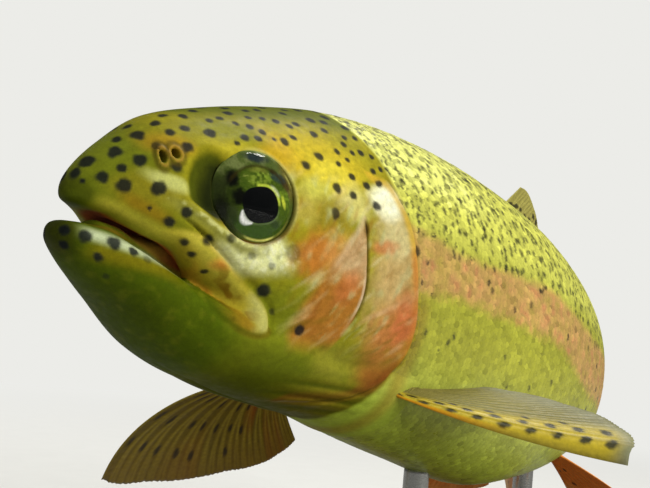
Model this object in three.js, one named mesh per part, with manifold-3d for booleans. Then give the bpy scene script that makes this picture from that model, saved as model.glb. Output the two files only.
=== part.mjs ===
// Rainbow trout, a still life-size model of the whole fish, held by a plain display stand.
//
// Millimetres, +Z up, head toward -X, the fish's left side toward -Y.
// The body is drawn straight first, in fish coordinates: s runs back from the snout along the
// backbone, y goes to the fish's right and z up. bendPoint() then lays it along the turned backbone.
import * as THREE from 'three';
import { mergeVertices } from 'three/addons/utils/BufferGeometryUtils.js';
import Module from 'manifold-3d';

const wasm = await Module();
wasm.setup();

// ---------------------------------------------------------------- driving dimensions
const GAP = 0.3;                  // clearance of the thin cuts between parts
const BODY_END = 296;             // snout to the root of the tail fin
const SIDES = 28;                 // facets round the body
const TURN = { angle: 48.8, from: 96, to: 292 };                        // sweep of the tail to the right
const DIP = { angle: 11.9, from: 26, to: 138, levelFrom: 170, levelTo: 290 };  // sag of the trunk

// Body stations: s, back, belly, half width, level of the greatest width
const BODY = [
  [-1.9, 0.8, 0.8, 0, 0.8],
  [-1, 3.8, -0.9, 2.2, 1.3],
  [1.2, 6.9, -2, 4.1, 1.7],
  [5, 10.7, -4.4, 6.9, 2.2],
  [12, 16.3, -8, 11.5, 0.2],
  [24, 20.8, -13.2, 15.6, -1.1],
  [38, 24.7, -26.1, 18.5, -3.1],
  [54, 28.2, -29.6, 20.5, -4],
  [75, 30.4, -36.3, 22.4, -3.4],
  [100, 31.3, -39.6, 24, -2.7],
  [126, 31.2, -41.2, 25.3, -2],
  [150, 30.1, -36.4, 24.5, -0.9],
  [180, 27.5, -27.8, 22.5, 0],
  [212, 22.6, -21.6, 17.7, 0],
  [241, 17, -18.2, 11.5, 0],
  [264, 13.8, -13.8, 8, 0],
  [BODY_END, 14.2, -14.2, 2.8, 0],
];
const BODY_ROUND = { above: 2.05, below: 2.2 };   // 2 is an ellipse, more is squarer

// Lower jaw stations, same columns
const JAW = [
  [-3, -5.8, -5.8, 0, -5.8],
  [-1.4, -3.7, -8.5, 3.9, -6],
  [3, -3.6, -12.5, 6.5, -7.5],
  [9, -5.8, -16.6, 9.5, -10.6],
  [18, -10.2, -23.4, 12.4, -14.5],
  [30, -15.3, -27.7, 14.8, -19],
  [52, -22, -31.4, 14.5, -24],
];
const JAW_ROUND = { above: 2.6, below: 2 };

const HEAD_END = 50;              // where the skull meets the trunk
const TRUNK_CUTS = [HEAD_END, 104, 158, 222, BODY_END];
const TRUNK_NAMES = ['trunk_front', 'trunk_middle', 'trunk_rear', 'tail_stalk'];

// Lower edge of the upper jaw, as (s, z), from the front of the snout to the mouth corner
const LIP_EDGE = [[-6, -1.2], [3, -1.6], [7, -2.8], [11, -4.3], [15, -6.5], [19, -9.6]];
const PLATE = { gill: 2.4, maxilla: 1.8 };   // thickness of the cover plates

const EYE = {
  s: 26, side: 14, z: 4.5,         // centre of the rim
  rim: 7.7, bulge: 2.6, depth: 5,  // rim radius, height of the cornea, depth behind the rim
  forward: 17, up: 4,              // where it looks, degrees from straight sideways
};

const STAND = {
  axisHeight: 100,                 // snout level above the floor
  thick: 12, length: 190, width: 92, corner: 40, bevel: 1.5,
  centreX: 142, centreY: 8,
  rodRadius: 3, flangeRadius: 8, flangeThick: 3,
  rodAt: { front: 112, rear: 192 },  // s of the two rods
  rodGap: 0.35,
};

const FIN_EDGE = 0.6;             // thickness at a fin's edge
const FIN_ROOT = 1.8;             // thickness at a fin's root
const FIN_ROOM = 34;              // stretch of the body that a paired fin is trimmed against

// ---------------------------------------------------------------- numbers and curves
const rad = THREE.MathUtils.degToRad;
const lerp = THREE.MathUtils.lerp;
const smooth = (x, from, to) => THREE.MathUtils.smoothstep(x, from, to);

// Monotone cubic through the stations, taken over the square root of the distance from the tip,
// so that the tip comes out round.
function profile(stations, column) {
  const x = stations.map((row) => Math.sqrt(row[0] - stations[0][0]));
  const y = stations.map((row) => row[column]);
  const step = x.slice(1).map((v, i) => v - x[i]);
  const slope = step.map((h, i) => (y[i + 1] - y[i]) / h);
  const tangent = x.map((_, i) => {
    if (i === 0) return slope[0];
    if (i === x.length - 1) return slope[i - 1];
    if (slope[i - 1] * slope[i] <= 0) return 0;
    const a = 2 * step[i] + step[i - 1];
    const b = step[i] + 2 * step[i - 1];
    return (a + b) / (a / slope[i - 1] + b / slope[i]);
  });
  return (s) => {
    const at = Math.sqrt(Math.max(s - stations[0][0], 0));
    let k = 0;
    while (k < step.length - 1 && at > x[k + 1]) k += 1;
    const t = (at - x[k]) / step[k];
    const t2 = t * t;
    const t3 = t2 * t;
    return (2 * t3 - 3 * t2 + 1) * y[k] + (t3 - 2 * t2 + t) * step[k] * tangent[k]
      + (3 * t2 - 2 * t3) * y[k + 1] + (t3 - t2) * step[k] * tangent[k + 1];
  };
}

function shapeOf(stations, round) {
  const [back, belly, width, level] = [1, 2, 3, 4].map((c) => profile(stations, c));
  return { start: stations[0][0], back, belly, width, level, round };
}

const body = shapeOf(BODY, BODY_ROUND);
const jaw = shapeOf(JAW, JAW_ROUND);

// A point on the skin: angle 0 is the back, 90 degrees the right side. grow moves it outward.
function skinPoint(shape, s, angle, grow = 0) {
  const level = shape.level(s);
  const up = Math.cos(angle) >= 0;
  const power = 2 / (up ? shape.round.above : shape.round.below);
  const height = (up ? shape.back(s) - level : level - shape.belly(s)) + grow;
  const y = (shape.width(s) + grow) * Math.sign(Math.sin(angle)) * Math.abs(Math.sin(angle)) ** power;
  const z = level + Math.max(height, 0.01) * Math.sign(Math.cos(angle)) * Math.abs(Math.cos(angle)) ** power;
  return new THREE.Vector3(s, y, z);
}

// ---------------------------------------------------------------- the turned backbone
const headingAt = (s) => rad(TURN.angle) * smooth(s, TURN.from, TURN.to);
const slopeAt = (s) => -rad(DIP.angle) * smooth(s, DIP.from, DIP.to)
  * (1 - smooth(s, DIP.levelFrom, DIP.levelTo));

function directionAt(s) {
  const level = Math.cos(slopeAt(s));
  return new THREE.Vector3(level * Math.cos(headingAt(s)), level * Math.sin(headingAt(s)), Math.sin(slopeAt(s)));
}

const SPINE_STEP = 0.5;
const SPINE = [new THREE.Vector3()];
for (let s = SPINE_STEP; s <= BODY_END + 80; s += SPINE_STEP) {
  SPINE.push(SPINE.at(-1).clone().addScaledVector(directionAt(s - SPINE_STEP / 2), SPINE_STEP));
}

function spineAt(s) {
  if (s <= 0) return new THREE.Vector3(s, 0, 0);
  const k = Math.min(Math.floor(s / SPINE_STEP), SPINE.length - 2);
  return SPINE[k].clone().lerp(SPINE[k + 1], s / SPINE_STEP - k);
}

function bendPoint(p) {
  const along = directionAt(p.x);
  const across = new THREE.Vector3(-Math.sin(headingAt(p.x)), Math.cos(headingAt(p.x)), 0);
  const upward = new THREE.Vector3().crossVectors(along, across);
  return spineAt(p.x).addScaledVector(across, p.y).addScaledVector(upward, p.z);
}

// ---------------------------------------------------------------- solids
function geometryFrom(points, triangles) {
  const geometry = new THREE.BufferGeometry();
  geometry.setAttribute('position', new THREE.Float32BufferAttribute(points.flatMap((p) => p.toArray()), 3));
  geometry.setIndex(triangles);
  return geometry;
}

// Rings of equal length joined into a closed body, with a fan over each end
function closedRings(rings) {
  const count = rings[0].length;
  const points = rings.flat();
  const triangles = [];
  for (let r = 0; r < rings.length - 1; r += 1) {
    for (let i = 0; i < count; i += 1) {
      const a = r * count + i;
      const b = r * count + ((i + 1) % count);
      triangles.push(a, b, b + count, a, b + count, a + count);
    }
  }
  for (const [r, flip] of [[0, true], [rings.length - 1, false]]) {
    const centre = new THREE.Vector3();
    rings[r].forEach((p) => centre.addScaledVector(p, 1 / count));
    points.push(centre);
    for (let i = 0; i < count; i += 1) {
      const a = r * count + i;
      const b = r * count + ((i + 1) % count);
      triangles.push(points.length - 1, ...(flip ? [b, a] : [a, b]));
    }
  }
  return geometryFrom(points, triangles);
}

function solid(geometry) {
  const plain = geometry.clone();
  plain.deleteAttribute('normal');
  plain.deleteAttribute('uv');
  const merged = mergeVertices(plain, 1e-4);
  const mesh = new wasm.Mesh({
    numProp: 3,
    vertProperties: new Float32Array(merged.attributes.position.array),
    triVerts: new Uint32Array(merged.index.array),
  });
  return new wasm.Manifold(mesh);
}

function fromSolid(manifold) {
  const mesh = manifold.getMesh();
  const geometry = new THREE.BufferGeometry();
  geometry.setAttribute('position', new THREE.Float32BufferAttribute(mesh.vertProperties, 3));
  geometry.setIndex(Array.from(mesh.triVerts));
  return geometry;
}

// The body or jaw between two stations, closed at both ends
function length(shape, from, to, rings, grow = 0, sides = SIDES) {
  const list = [];
  for (let r = 0; r <= rings; r += 1) {
    const t = r / rings;
    const round = from <= shape.start;
    const s = round ? from + 0.02 + (to - from) * t ** 1.7 : lerp(from, to, t);
    const ring = [];
    for (let i = 0; i < sides; i += 1) ring.push(skinPoint(shape, s, (-2 * Math.PI * i) / sides, grow));
    list.push(ring);
  }
  return solid(closedRings(list));
}

// A side outline (s, z) pushed through the body from y = inner to y = outer
function sidePrism(outline, inner, outer) {
  const shape = new THREE.Shape(outline.map(([s, z]) => new THREE.Vector2(s, z)));
  const geometry = new THREE.ExtrudeGeometry(shape, { depth: outer - inner, bevelEnabled: false });
  geometry.rotateX(Math.PI / 2);
  geometry.translate(0, outer, 0);
  return solid(geometry);
}

// The same on one side only, from innermost out past the skin
function plateRegion(outline, side, innermost) {
  const outer = 60;
  return side > 0 ? sidePrism(outline, innermost, outer) : sidePrism(outline, -outer, -innermost);
}

// A closed outline through a few points, rounded by a spline
function roundedOutline(points, count) {
  const curve = new THREE.CatmullRomCurve3(points.map(([s, z]) => new THREE.Vector3(s, z, 0)), true, 'centripetal');
  return curve.getPoints(count).slice(0, -1).map((p) => [p.x, p.y]);
}

function grownOutline(outline, by) {
  const count = outline.length;
  const area = outline.reduce((sum, [s, z], i) => {
    const [s2, z2] = outline[(i + 1) % count];
    return sum + s * z2 - s2 * z;
  }, 0);
  const turn = Math.sign(area);
  return outline.map(([s, z], i) => {
    const [sa, za] = outline[(i + count - 1) % count];
    const [sb, zb] = outline[(i + 1) % count];
    const along = new THREE.Vector2(sb - sa, zb - za).normalize();
    return [s + along.y * turn * by, z - along.x * turn * by];
  });
}

// ---------------------------------------------------------------- head parts
// Gill cover: front edge down the cheek, under the throat, and back round the free rear edge
const GILL_OUTLINE = roundedOutline([
  [51, 11], [51, -2], [50, -13], [46, -21], [43, -30], [52, -37], [62, -36], [67.5, -26],
  [70, -14], [69, -3], [65.5, 6.5], [60, 12], [55, 13.5],
], 28);
const GILL_INNERMOST = 7;

// Maxilla: the long bone along the upper lip, from beside the snout to behind the mouth corner
const MAXILLA_OUTLINE = roundedOutline([
  [9, -2.6], [13, -2], [17, -3.4], [22, -6.8], [27, -10], [31, -14], [31.6, -17], [28.6, -17.6],
  [23, -14.4], [18, -10], [13, -6.2],
], 22);
const MAXILLA_INNERMOST = 5;

function eyeGeometry(grow = 0) {
  const capRadius = (EYE.rim ** 2 + EYE.bulge ** 2) / (2 * EYE.bulge);
  const capAngle = Math.asin(EYE.rim / capRadius);
  const profilePoints = [];
  for (let i = 0; i <= 4; i += 1) {
    const angle = (i / 4) * (Math.PI / 2);
    profilePoints.push(new THREE.Vector2((EYE.rim + grow) * Math.sin(angle), -(EYE.depth + grow) * Math.cos(angle)));
  }
  for (let i = 4; i >= 0; i -= 1) {
    const angle = (i / 5) * capAngle;
    const rise = capRadius * (Math.cos(angle) - Math.cos(capAngle)) + grow;
    profilePoints.push(new THREE.Vector2(capRadius * Math.sin(angle), rise));
  }
  return new THREE.LatheGeometry(profilePoints, 18);
}

// The eye stands on its own axis, which points sideways, a little forward and up
function placeEye(geometry, side) {
  const look = new THREE.Vector3(
    -Math.sin(rad(EYE.forward)) * Math.cos(rad(EYE.up)),
    side * Math.cos(rad(EYE.forward)) * Math.cos(rad(EYE.up)),
    Math.sin(rad(EYE.up)),
  );
  geometry.applyQuaternion(new THREE.Quaternion().setFromUnitVectors(new THREE.Vector3(0, 1, 0), look));
  geometry.translate(EYE.s, side * EYE.side, EYE.z);
  return geometry;
}

// ---------------------------------------------------------------- fins
// A fin is a thin plate over a grid: rootAt(u) and tipAt(u) give its base and its edge, and
// bow(u, v) pushes the middle of a ray off the straight line between them.
function finPlate({ rootAt, tipAt, bow, rays = 8, steps = 4, root = FIN_ROOT, edge = FIN_EDGE }) {
  const grid = [];
  for (let i = 0; i <= rays; i += 1) {
    const u = i / rays;
    const from = rootAt(u);
    const to = tipAt(u);
    const row = [];
    for (let j = 0; j <= steps; j += 1) {
      const v = j / steps;
      const p = from.clone().lerp(to, v);
      if (bow) p.add(bow(u, v));
      row.push(p);
    }
    grid.push(row);
  }
  const front = [];
  const back = [];
  for (let i = 0; i <= rays; i += 1) {
    for (let j = 0; j <= steps; j += 1) {
      const du = grid[Math.min(i + 1, rays)][j].clone().sub(grid[Math.max(i - 1, 0)][j]);
      const dv = grid[i][Math.min(j + 1, steps)].clone().sub(grid[i][Math.max(j - 1, 0)]);
      const normal = du.cross(dv).normalize();
      const rim = Math.min(1, 3 * Math.min(i, rays - i) / rays + 0.45);
      const half = Math.max(lerp(root, edge, (j / steps) ** 0.7) * rim, edge) / 2;
      front.push(grid[i][j].clone().addScaledVector(normal, half));
      back.push(grid[i][j].clone().addScaledVector(normal, -half));
    }
  }
  const points = [...front, ...back];
  const offset = front.length;
  const at = (i, j) => i * (steps + 1) + j;
  const triangles = [];
  for (let i = 0; i < rays; i += 1) {
    for (let j = 0; j < steps; j += 1) {
      const [a, b, c, d] = [at(i, j), at(i + 1, j), at(i + 1, j + 1), at(i, j + 1)];
      triangles.push(a, b, c, a, c, d);
      triangles.push(offset + a, offset + c, offset + b, offset + a, offset + d, offset + c);
    }
  }
  const loop = [];
  for (let i = 0; i < rays; i += 1) loop.push(at(i, 0));
  for (let j = 0; j < steps; j += 1) loop.push(at(rays, j));
  for (let i = rays; i > 0; i -= 1) loop.push(at(i, steps));
  for (let j = steps; j > 0; j -= 1) loop.push(at(0, j));
  loop.forEach((a, k) => {
    const b = loop[(k + 1) % loop.length];
    triangles.push(a, offset + a, b, b, offset + a, offset + b);
  });
  return geometryFrom(points, triangles);
}

// Fins on the midline stand on the back or the belly: sign is 1 above and -1 below. Each has a
// height and a backward sweep at its front and rear ray, a rounded tip, and may fold back (lean).
const MID_FINS = {
  dorsal: {
    from: 128, to: 165, sign: 1, sweepFront: 12, sweepRear: 14, heightFront: 17, heightRear: 6, round: 0.3, lean: -0.1,
  },
  adipose: { from: 245, to: 253, sign: 1, sweepFront: 12, sweepRear: 7, heightFront: 8, heightRear: 4, round: 0.5 },
  anal: { from: 219, to: 246, sign: -1, sweepFront: 19, sweepRear: 9, heightFront: 27, heightRear: 9, round: 0.25 },
};

function midFin({ from, to, sign, sweepFront, sweepRear, heightFront, heightRear, round, lean = 0 }) {
  const rootAt = (u) => {
    const s = lerp(from, to, u);
    const z = sign > 0 ? body.back(s) : body.belly(s);
    return new THREE.Vector3(s, 0, z + sign * (GAP + 0.05));
  };
  const tipAt = (u) => {
    const p = rootAt(u);
    const height = lerp(heightFront, heightRear, u ** 0.8) * (1 - round * (1 - u) ** 6);
    const back = lerp(sweepFront, sweepRear, u) * (1 - 0.35 * round * (1 - u) ** 6);
    return new THREE.Vector3(p.x + back, p.y + lean * height, p.z + sign * height);
  };
  return finPlate({ rootAt, tipAt, rays: 7, steps: 3 });
}

// Paired fins fan out from a short root; directions are azimuth outward from the tail's side
// and elevation, both in degrees. A curl under 1 turns the leading rays down more than the rest.
const PECTORAL = {
  root: { front: [69.6, 16, -26], rear: [75.5, 17.5, -24.2] },
  length: 57, shortest: 20,
};
const PELVIC = {
  root: { front: [164, 13, -25.4], rear: [170, 10, -26] },
  length: 34, shortest: 16,
};
const POSE = {
  pectoral_fin_left: { side: -1, first: [52, -11], last: [15, 4], curl: 0.4, bow: [0, 0, -1.2], ...PECTORAL },
  pectoral_fin_right: { side: 1, first: [110, -35], last: [20, -53], bow: [-8, -1, 4.5], ...PECTORAL },
  pelvic_fin_left: { side: -1, first: [40, -27], last: [6, -40], bow: [0, 0, 0.5], ...PELVIC },
  pelvic_fin_right: { side: 1, first: [66, -38], last: [8, -48], bow: [0, 0, 0.5], ...PELVIC },
};

function ray(azimuth, elevation, side) {
  const flat = Math.cos(rad(elevation));
  return new THREE.Vector3(flat * Math.cos(rad(azimuth)), side * flat * Math.sin(rad(azimuth)), Math.sin(rad(elevation)));
}

function pairedFin({ side, first, last, bow, root, length: longest, shortest, curl = 1 }) {
  const place = ([s, y, z]) => bendPoint(new THREE.Vector3(s, side * y, z));
  const [front, rear] = [place(root.front), place(root.rear)];
  const rayAt = (u) => ray(lerp(first[0], last[0], u), lerp(first[1], last[1], u ** curl), side);
  const rootAt = (u) => front.clone().lerp(rear, u);
  const tipAt = (u) => {
    const reach = lerp(longest, shortest, u ** 0.9) * (1 - 0.16 * (1 - u) ** 8);
    return rootAt(u).addScaledVector(rayAt(u), reach);
  };
  const offset = new THREE.Vector3(...bow);
  return finPlate({
    rootAt, tipAt, bow: (u, v) => offset.clone().multiplyScalar(4 * v * (1 - v) * (1 - 0.6 * u)),
  });
}

const CAUDAL = { root: 13.4, lobe: 37, reach: 46, fork: 29, spread: 0.93 };

function caudalFin() {
  const rootAt = (u) => new THREE.Vector3(BODY_END + GAP + 0.05, 0, lerp(CAUDAL.root, -CAUDAL.root, u));
  const tipAt = (u) => {
    const across = 1 - 2 * u;
    const reach = lerp(CAUDAL.fork, CAUDAL.reach, Math.abs(across) ** 1.5) * (1 - 0.12 * Math.abs(across) ** 14);
    return new THREE.Vector3(BODY_END + reach, 0, CAUDAL.lobe * Math.sign(across) * Math.abs(across) ** CAUDAL.spread);
  };
  return finPlate({ rootAt, tipAt, rays: 14, steps: 4, root: 2.4 });
}

// ---------------------------------------------------------------- stand
function basePlate() {
  const { length: long, width, corner, bevel, thick } = STAND;
  const outline = new THREE.Shape();
  const x = long / 2 - bevel - corner;
  const y = width / 2 - bevel - corner;
  outline.absarc(x, y, corner, 0, Math.PI / 2);
  outline.absarc(-x, y, corner, Math.PI / 2, Math.PI);
  outline.absarc(-x, -y, corner, Math.PI, 1.5 * Math.PI);
  outline.absarc(x, -y, corner, 1.5 * Math.PI, 2 * Math.PI);
  const geometry = new THREE.ExtrudeGeometry(outline, {
    depth: thick - 2 * bevel, bevelThickness: bevel, bevelSize: bevel, bevelSegments: 1, curveSegments: 7,
  });
  geometry.translate(STAND.centreX, STAND.centreY, bevel - STAND.axisHeight);
  return geometry;
}

// A rod with its flange on the base, cut at the top where the belly rests on it
function rod(s) {
  const foot = bendPoint(new THREE.Vector3(s, 0, body.belly(s)));
  const bottom = STAND.thick + 0.02 - STAND.axisHeight + GAP;
  const top = foot.z + 6;
  const points = [
    [0, bottom], [STAND.flangeRadius - 0.6, bottom], [STAND.flangeRadius, bottom + 0.6],
    [STAND.flangeRadius, bottom + STAND.flangeThick - 0.6], [STAND.flangeRadius - 0.6, bottom + STAND.flangeThick],
    [STAND.rodRadius, bottom + STAND.flangeThick], [STAND.rodRadius, top], [0, top],
  ].map(([r, z]) => new THREE.Vector2(r, z));
  const geometry = new THREE.LatheGeometry(points, 16);
  geometry.rotateX(Math.PI / 2);
  geometry.translate(foot.x, foot.y, 0);
  return geometry;
}

// ---------------------------------------------------------------- materials
const paint = (color, roughness, metalness = 0) => new THREE.MeshStandardMaterial({ color, roughness, metalness });
const MATERIAL = {
  head: paint(0xa3922a, 0.35),
  jaw: paint(0x5f6d22, 0.35),
  flank: paint(0xb0a648, 0.35),
  gill: paint(0xc08a62, 0.35),
  eye: paint(0x2c3a14, 0.08),
  fin: paint(0x8d7e36, 0.4),
  finWarm: paint(0xc06a2c, 0.4),
  base: paint(0x4a3020, 0.45),
  rod: paint(0xb9b9b4, 0.3, 1),
};

// ---------------------------------------------------------------- assembly
const trout = new THREE.Group();

function addNode(name, geometry, material) {
  const mesh = new THREE.Mesh(geometry, material);
  mesh.name = name;
  trout.add(mesh);
}

function bent(geometry) {
  const position = geometry.attributes.position;
  const p = new THREE.Vector3();
  for (let i = 0; i < position.count; i += 1) {
    p.fromBufferAttribute(position, i);
    position.setXYZ(i, ...bendPoint(p).toArray());
  }
  return geometry;
}

const SIDE_NAMES = [['left', -1], ['right', 1]];

// Lower jaw, with the throat behind it
const jawSolid = length(jaw, JAW[0][0], HEAD_END, 10);
const jawRoom = length(jaw, JAW[0][0], HEAD_END + 1, 10, GAP);
addNode('lower_jaw', bent(fromSolid(jawSolid)), MATERIAL.jaw);

// Skull with the upper jaw: everything below the lip line is cut away in front of the mouth corner
let skull = length(body, BODY[0][0], HEAD_END, 13);
const deep = -50;
const mouth = sidePrism([...LIP_EDGE, [LIP_EDGE.at(-1)[0], deep], [LIP_EDGE[0][0], deep]], -40, 40);
skull = skull.subtract(mouth).subtract(jawRoom);
let shoulder = length(body, HEAD_END + GAP, TRUNK_CUTS[1], 8);

// Gill covers and maxillae are plates laid into the sides, flush with the skin
const headShell = length(body, BODY[0][0], 80, 20, 0);
for (const [name, side] of SIDE_NAMES) {
  const place = (outline, innermost, by) => plateRegion(grownOutline(outline, by), side, innermost - by);
  const gillCore = length(body, 20, 80, 10, -PLATE.gill);
  const gillRoomCore = length(body, 20, 80, 10, -PLATE.gill - GAP);
  const cover = headShell.intersect(place(GILL_OUTLINE, GILL_INNERMOST, 0)).subtract(gillCore).subtract(jawRoom);
  const coverRoom = place(GILL_OUTLINE, GILL_INNERMOST, GAP).subtract(gillRoomCore);
  addNode(`gill_cover_${name}`, bent(fromSolid(cover)), MATERIAL.gill);
  skull = skull.subtract(coverRoom);
  shoulder = shoulder.subtract(coverRoom);

  const lipCore = length(body, 4, 40, 9, -PLATE.maxilla);
  const lipRoomCore = length(body, 4, 40, 9, -PLATE.maxilla - GAP);
  const maxilla = headShell.intersect(place(MAXILLA_OUTLINE, MAXILLA_INNERMOST, 0)).subtract(lipCore).subtract(jawRoom);
  const maxillaRoom = place(MAXILLA_OUTLINE, MAXILLA_INNERMOST, GAP).subtract(lipRoomCore);
  addNode(`maxilla_${name}`, bent(fromSolid(maxilla)), MATERIAL.head);
  skull = skull.subtract(maxillaRoom);

  addNode(`eye_${name}`, bent(placeEye(eyeGeometry(), side)), MATERIAL.eye);
  skull = skull.subtract(solid(placeEye(eyeGeometry(GAP), side)));
}
addNode('head', bent(fromSolid(skull)), MATERIAL.head);

// Trunk in four lengths; the rods stop just short of the belly
addNode(TRUNK_NAMES[0], bent(fromSolid(shoulder)), MATERIAL.flank);
for (let i = 1; i < TRUNK_NAMES.length; i += 1) {
  const piece = length(body, TRUNK_CUTS[i] + GAP, TRUNK_CUTS[i + 1], 7);
  addNode(TRUNK_NAMES[i], bent(fromSolid(piece)), MATERIAL.flank);
}

// Fins
addNode('dorsal_fin', bent(midFin(MID_FINS.dorsal)), MATERIAL.fin);
addNode('adipose_fin', bent(midFin(MID_FINS.adipose)), MATERIAL.fin);
addNode('anal_fin', bent(midFin(MID_FINS.anal)), MATERIAL.finWarm);
addNode('caudal_fin', bent(caudalFin()), MATERIAL.fin);
for (const [name, pose] of Object.entries(POSE)) {
  const [start, end] = [pose.root.front[0] - FIN_ROOM, pose.root.rear[0] + FIN_ROOM];
  const fleshRoom = solid(bent(fromSolid(length(body, start, end, 12, GAP))));
  const fin = fromSolid(solid(pairedFin(pose)).subtract(fleshRoom));
  addNode(name, fin, name.startsWith('pelvic') ? MATERIAL.finWarm : MATERIAL.fin);
}

// Stand
addNode('stand_base', basePlate(), MATERIAL.base);
for (const [name, s] of Object.entries(STAND.rodAt)) {
  const bellyRoom = solid(bent(fromSolid(length(body, s - 14, s + 14, 6, STAND.rodGap))));
  addNode(`stand_rod_${name}`, fromSolid(solid(rod(s)).subtract(bellyRoom)), MATERIAL.rod);
}

// The origin is the middle of the box's footprint, on the floor
const box = new THREE.Box3().setFromObject(trout);
const centre = box.getCenter(new THREE.Vector3());
trout.position.set(-centre.x, -centre.y, -box.min.z);

export default trout;
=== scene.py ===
"""Looks of the rainbow trout: one skin with all its folds, scales, eyes, fins, and the stand.

The fish is modelled straight, in millimetres of fish coordinates (s back from the snout, y to the
right, z up), with the same stations as the CAD, and is then laid along the same turned backbone.
"""

import math

import bpy
import numpy as np
from mathutils import Matrix, Vector


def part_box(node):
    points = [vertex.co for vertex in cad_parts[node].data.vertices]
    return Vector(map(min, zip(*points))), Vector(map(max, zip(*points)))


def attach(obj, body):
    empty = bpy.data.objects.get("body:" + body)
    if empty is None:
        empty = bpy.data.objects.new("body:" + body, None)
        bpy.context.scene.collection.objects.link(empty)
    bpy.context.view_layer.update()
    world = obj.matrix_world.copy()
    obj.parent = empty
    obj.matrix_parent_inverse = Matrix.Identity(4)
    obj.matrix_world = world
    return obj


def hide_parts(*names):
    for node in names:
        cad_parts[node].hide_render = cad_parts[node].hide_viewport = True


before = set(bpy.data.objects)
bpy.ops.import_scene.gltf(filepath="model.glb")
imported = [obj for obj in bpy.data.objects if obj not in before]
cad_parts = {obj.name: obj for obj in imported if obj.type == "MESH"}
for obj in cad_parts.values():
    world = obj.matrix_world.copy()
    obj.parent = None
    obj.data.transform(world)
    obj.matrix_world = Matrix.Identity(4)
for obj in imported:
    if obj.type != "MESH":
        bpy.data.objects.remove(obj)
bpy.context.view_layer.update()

MM = 0.001

# ------------------------------------------------------------------ driving dimensions, mm
BODY_END = 296.0
TURN = {"angle": 48.8, "from": 96.0, "to": 292.0}
DIP = {"angle": 11.9, "from": 26.0, "to": 138.0, "level_from": 170.0, "level_to": 290.0}
STAND_CENTRE = (142.0, 8.0)       # middle of the stand's base in fish coordinates
AXIS_HEIGHT = 100.0               # snout level above the floor

# Stations: s, back, belly, half width, level of the greatest width. Most rows of BODY and JAW, the angles of
# TURN and DIP and most of CAMERA come from a least-squares fit to the photo's outline by a scratch program,
# which the work order doesn't allow for tables; report.md says which.
BODY = [
    (-1.9, 0.8, 0.8, 0, 0.8), (-1, 3.8, -0.9, 2.2, 1.3), (1.2, 6.9, -2, 4.1, 1.7), (5, 10.7, -4.4, 6.9, 2.2),
    (12, 16.3, -8, 11.5, 0.2),
    (24, 20.8, -13.2, 15.6, -1.1), (38, 24.7, -26.1, 18.5, -3.1), (54, 28.2, -29.6, 20.5, -4),
    (75, 30.4, -36.3, 22.4, -3.4), (100, 31.3, -39.6, 24, -2.7), (126, 31.2, -41.2, 25.3, -2),
    (150, 30.1, -36.4, 24.5, -0.9), (180, 27.5, -27.8, 22.5, 0), (212, 22.6, -21.6, 17.7, 0),
    (241, 17, -18.2, 11.5, 0), (264, 13.8, -13.8, 8, 0), (BODY_END, 14.2, -14.2, 2.8, 0),
]
JAW = [
    (-3, -5.8, -5.8, 0, -5.8), (-1.4, -3.7, -8.5, 3.9, -6), (3, -3.6, -12.5, 6.5, -7.5),
    (9, -5.8, -16.6, 9.5, -10.6), (18, -10.2, -23.4, 12.4, -14.5), (30, -15.3, -27.7, 14.8, -19),
    (52, -22, -31.4, 14.5, -24),
]
BODY_ROUND = (2.05, 2.2)          # roundness above and below the greatest width
JAW_ROUND = (2.6, 2.0)
COAT = 0.28                       # depth of the scales over the skin
HEAD_INSET = 0.1                  # how far the bare head's skin lies inside the solids


# ------------------------------------------------------------------ numbers and curves
def smooth(x, low, high):
    """0 below low, 1 above high, and a soft step between."""
    t = np.clip((np.asarray(x, float) - low) / (high - low), 0, 1)
    return t * t * (3 - 2 * t)


def bump(x, centre, half):
    """A soft hump of height 1 that ends at centre +- half."""
    t = np.clip(1 - ((np.asarray(x, float) - centre) / half) ** 2, 0, 1)
    return t * t


def soft_min(a, b, k):
    h = np.clip(0.5 + 0.5 * (b - a) / k, 0, 1)
    return b + (a - b) * h - k * h * (1 - h)


def soft_max(a, b, k):
    return -soft_min(-a, -b, k)


def monotone(x, y):
    """Monotone cubic through the points, as a function."""
    x, y = np.asarray(x, float), np.asarray(y, float)
    step = np.diff(x)
    slope = np.diff(y) / step
    tangent = np.zeros_like(y)
    tangent[0], tangent[-1] = slope[0], slope[-1]
    for k in range(1, len(x) - 1):
        if slope[k - 1] * slope[k] > 0:
            a, b = 2 * step[k] + step[k - 1], step[k] + 2 * step[k - 1]
            tangent[k] = (a + b) / (a / slope[k - 1] + b / slope[k])

    def value(at):
        at = np.asarray(at, float)
        k = np.clip(np.searchsorted(x, at) - 1, 0, len(step) - 1)
        t = (at - x[k]) / step[k]
        t2, t3 = t * t, t * t * t
        return ((2 * t3 - 3 * t2 + 1) * y[k] + (t3 - 2 * t2 + t) * step[k] * tangent[k]
                + (3 * t2 - 2 * t3) * y[k + 1] + (t3 - t2) * step[k] * tangent[k + 1])
    return value


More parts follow.
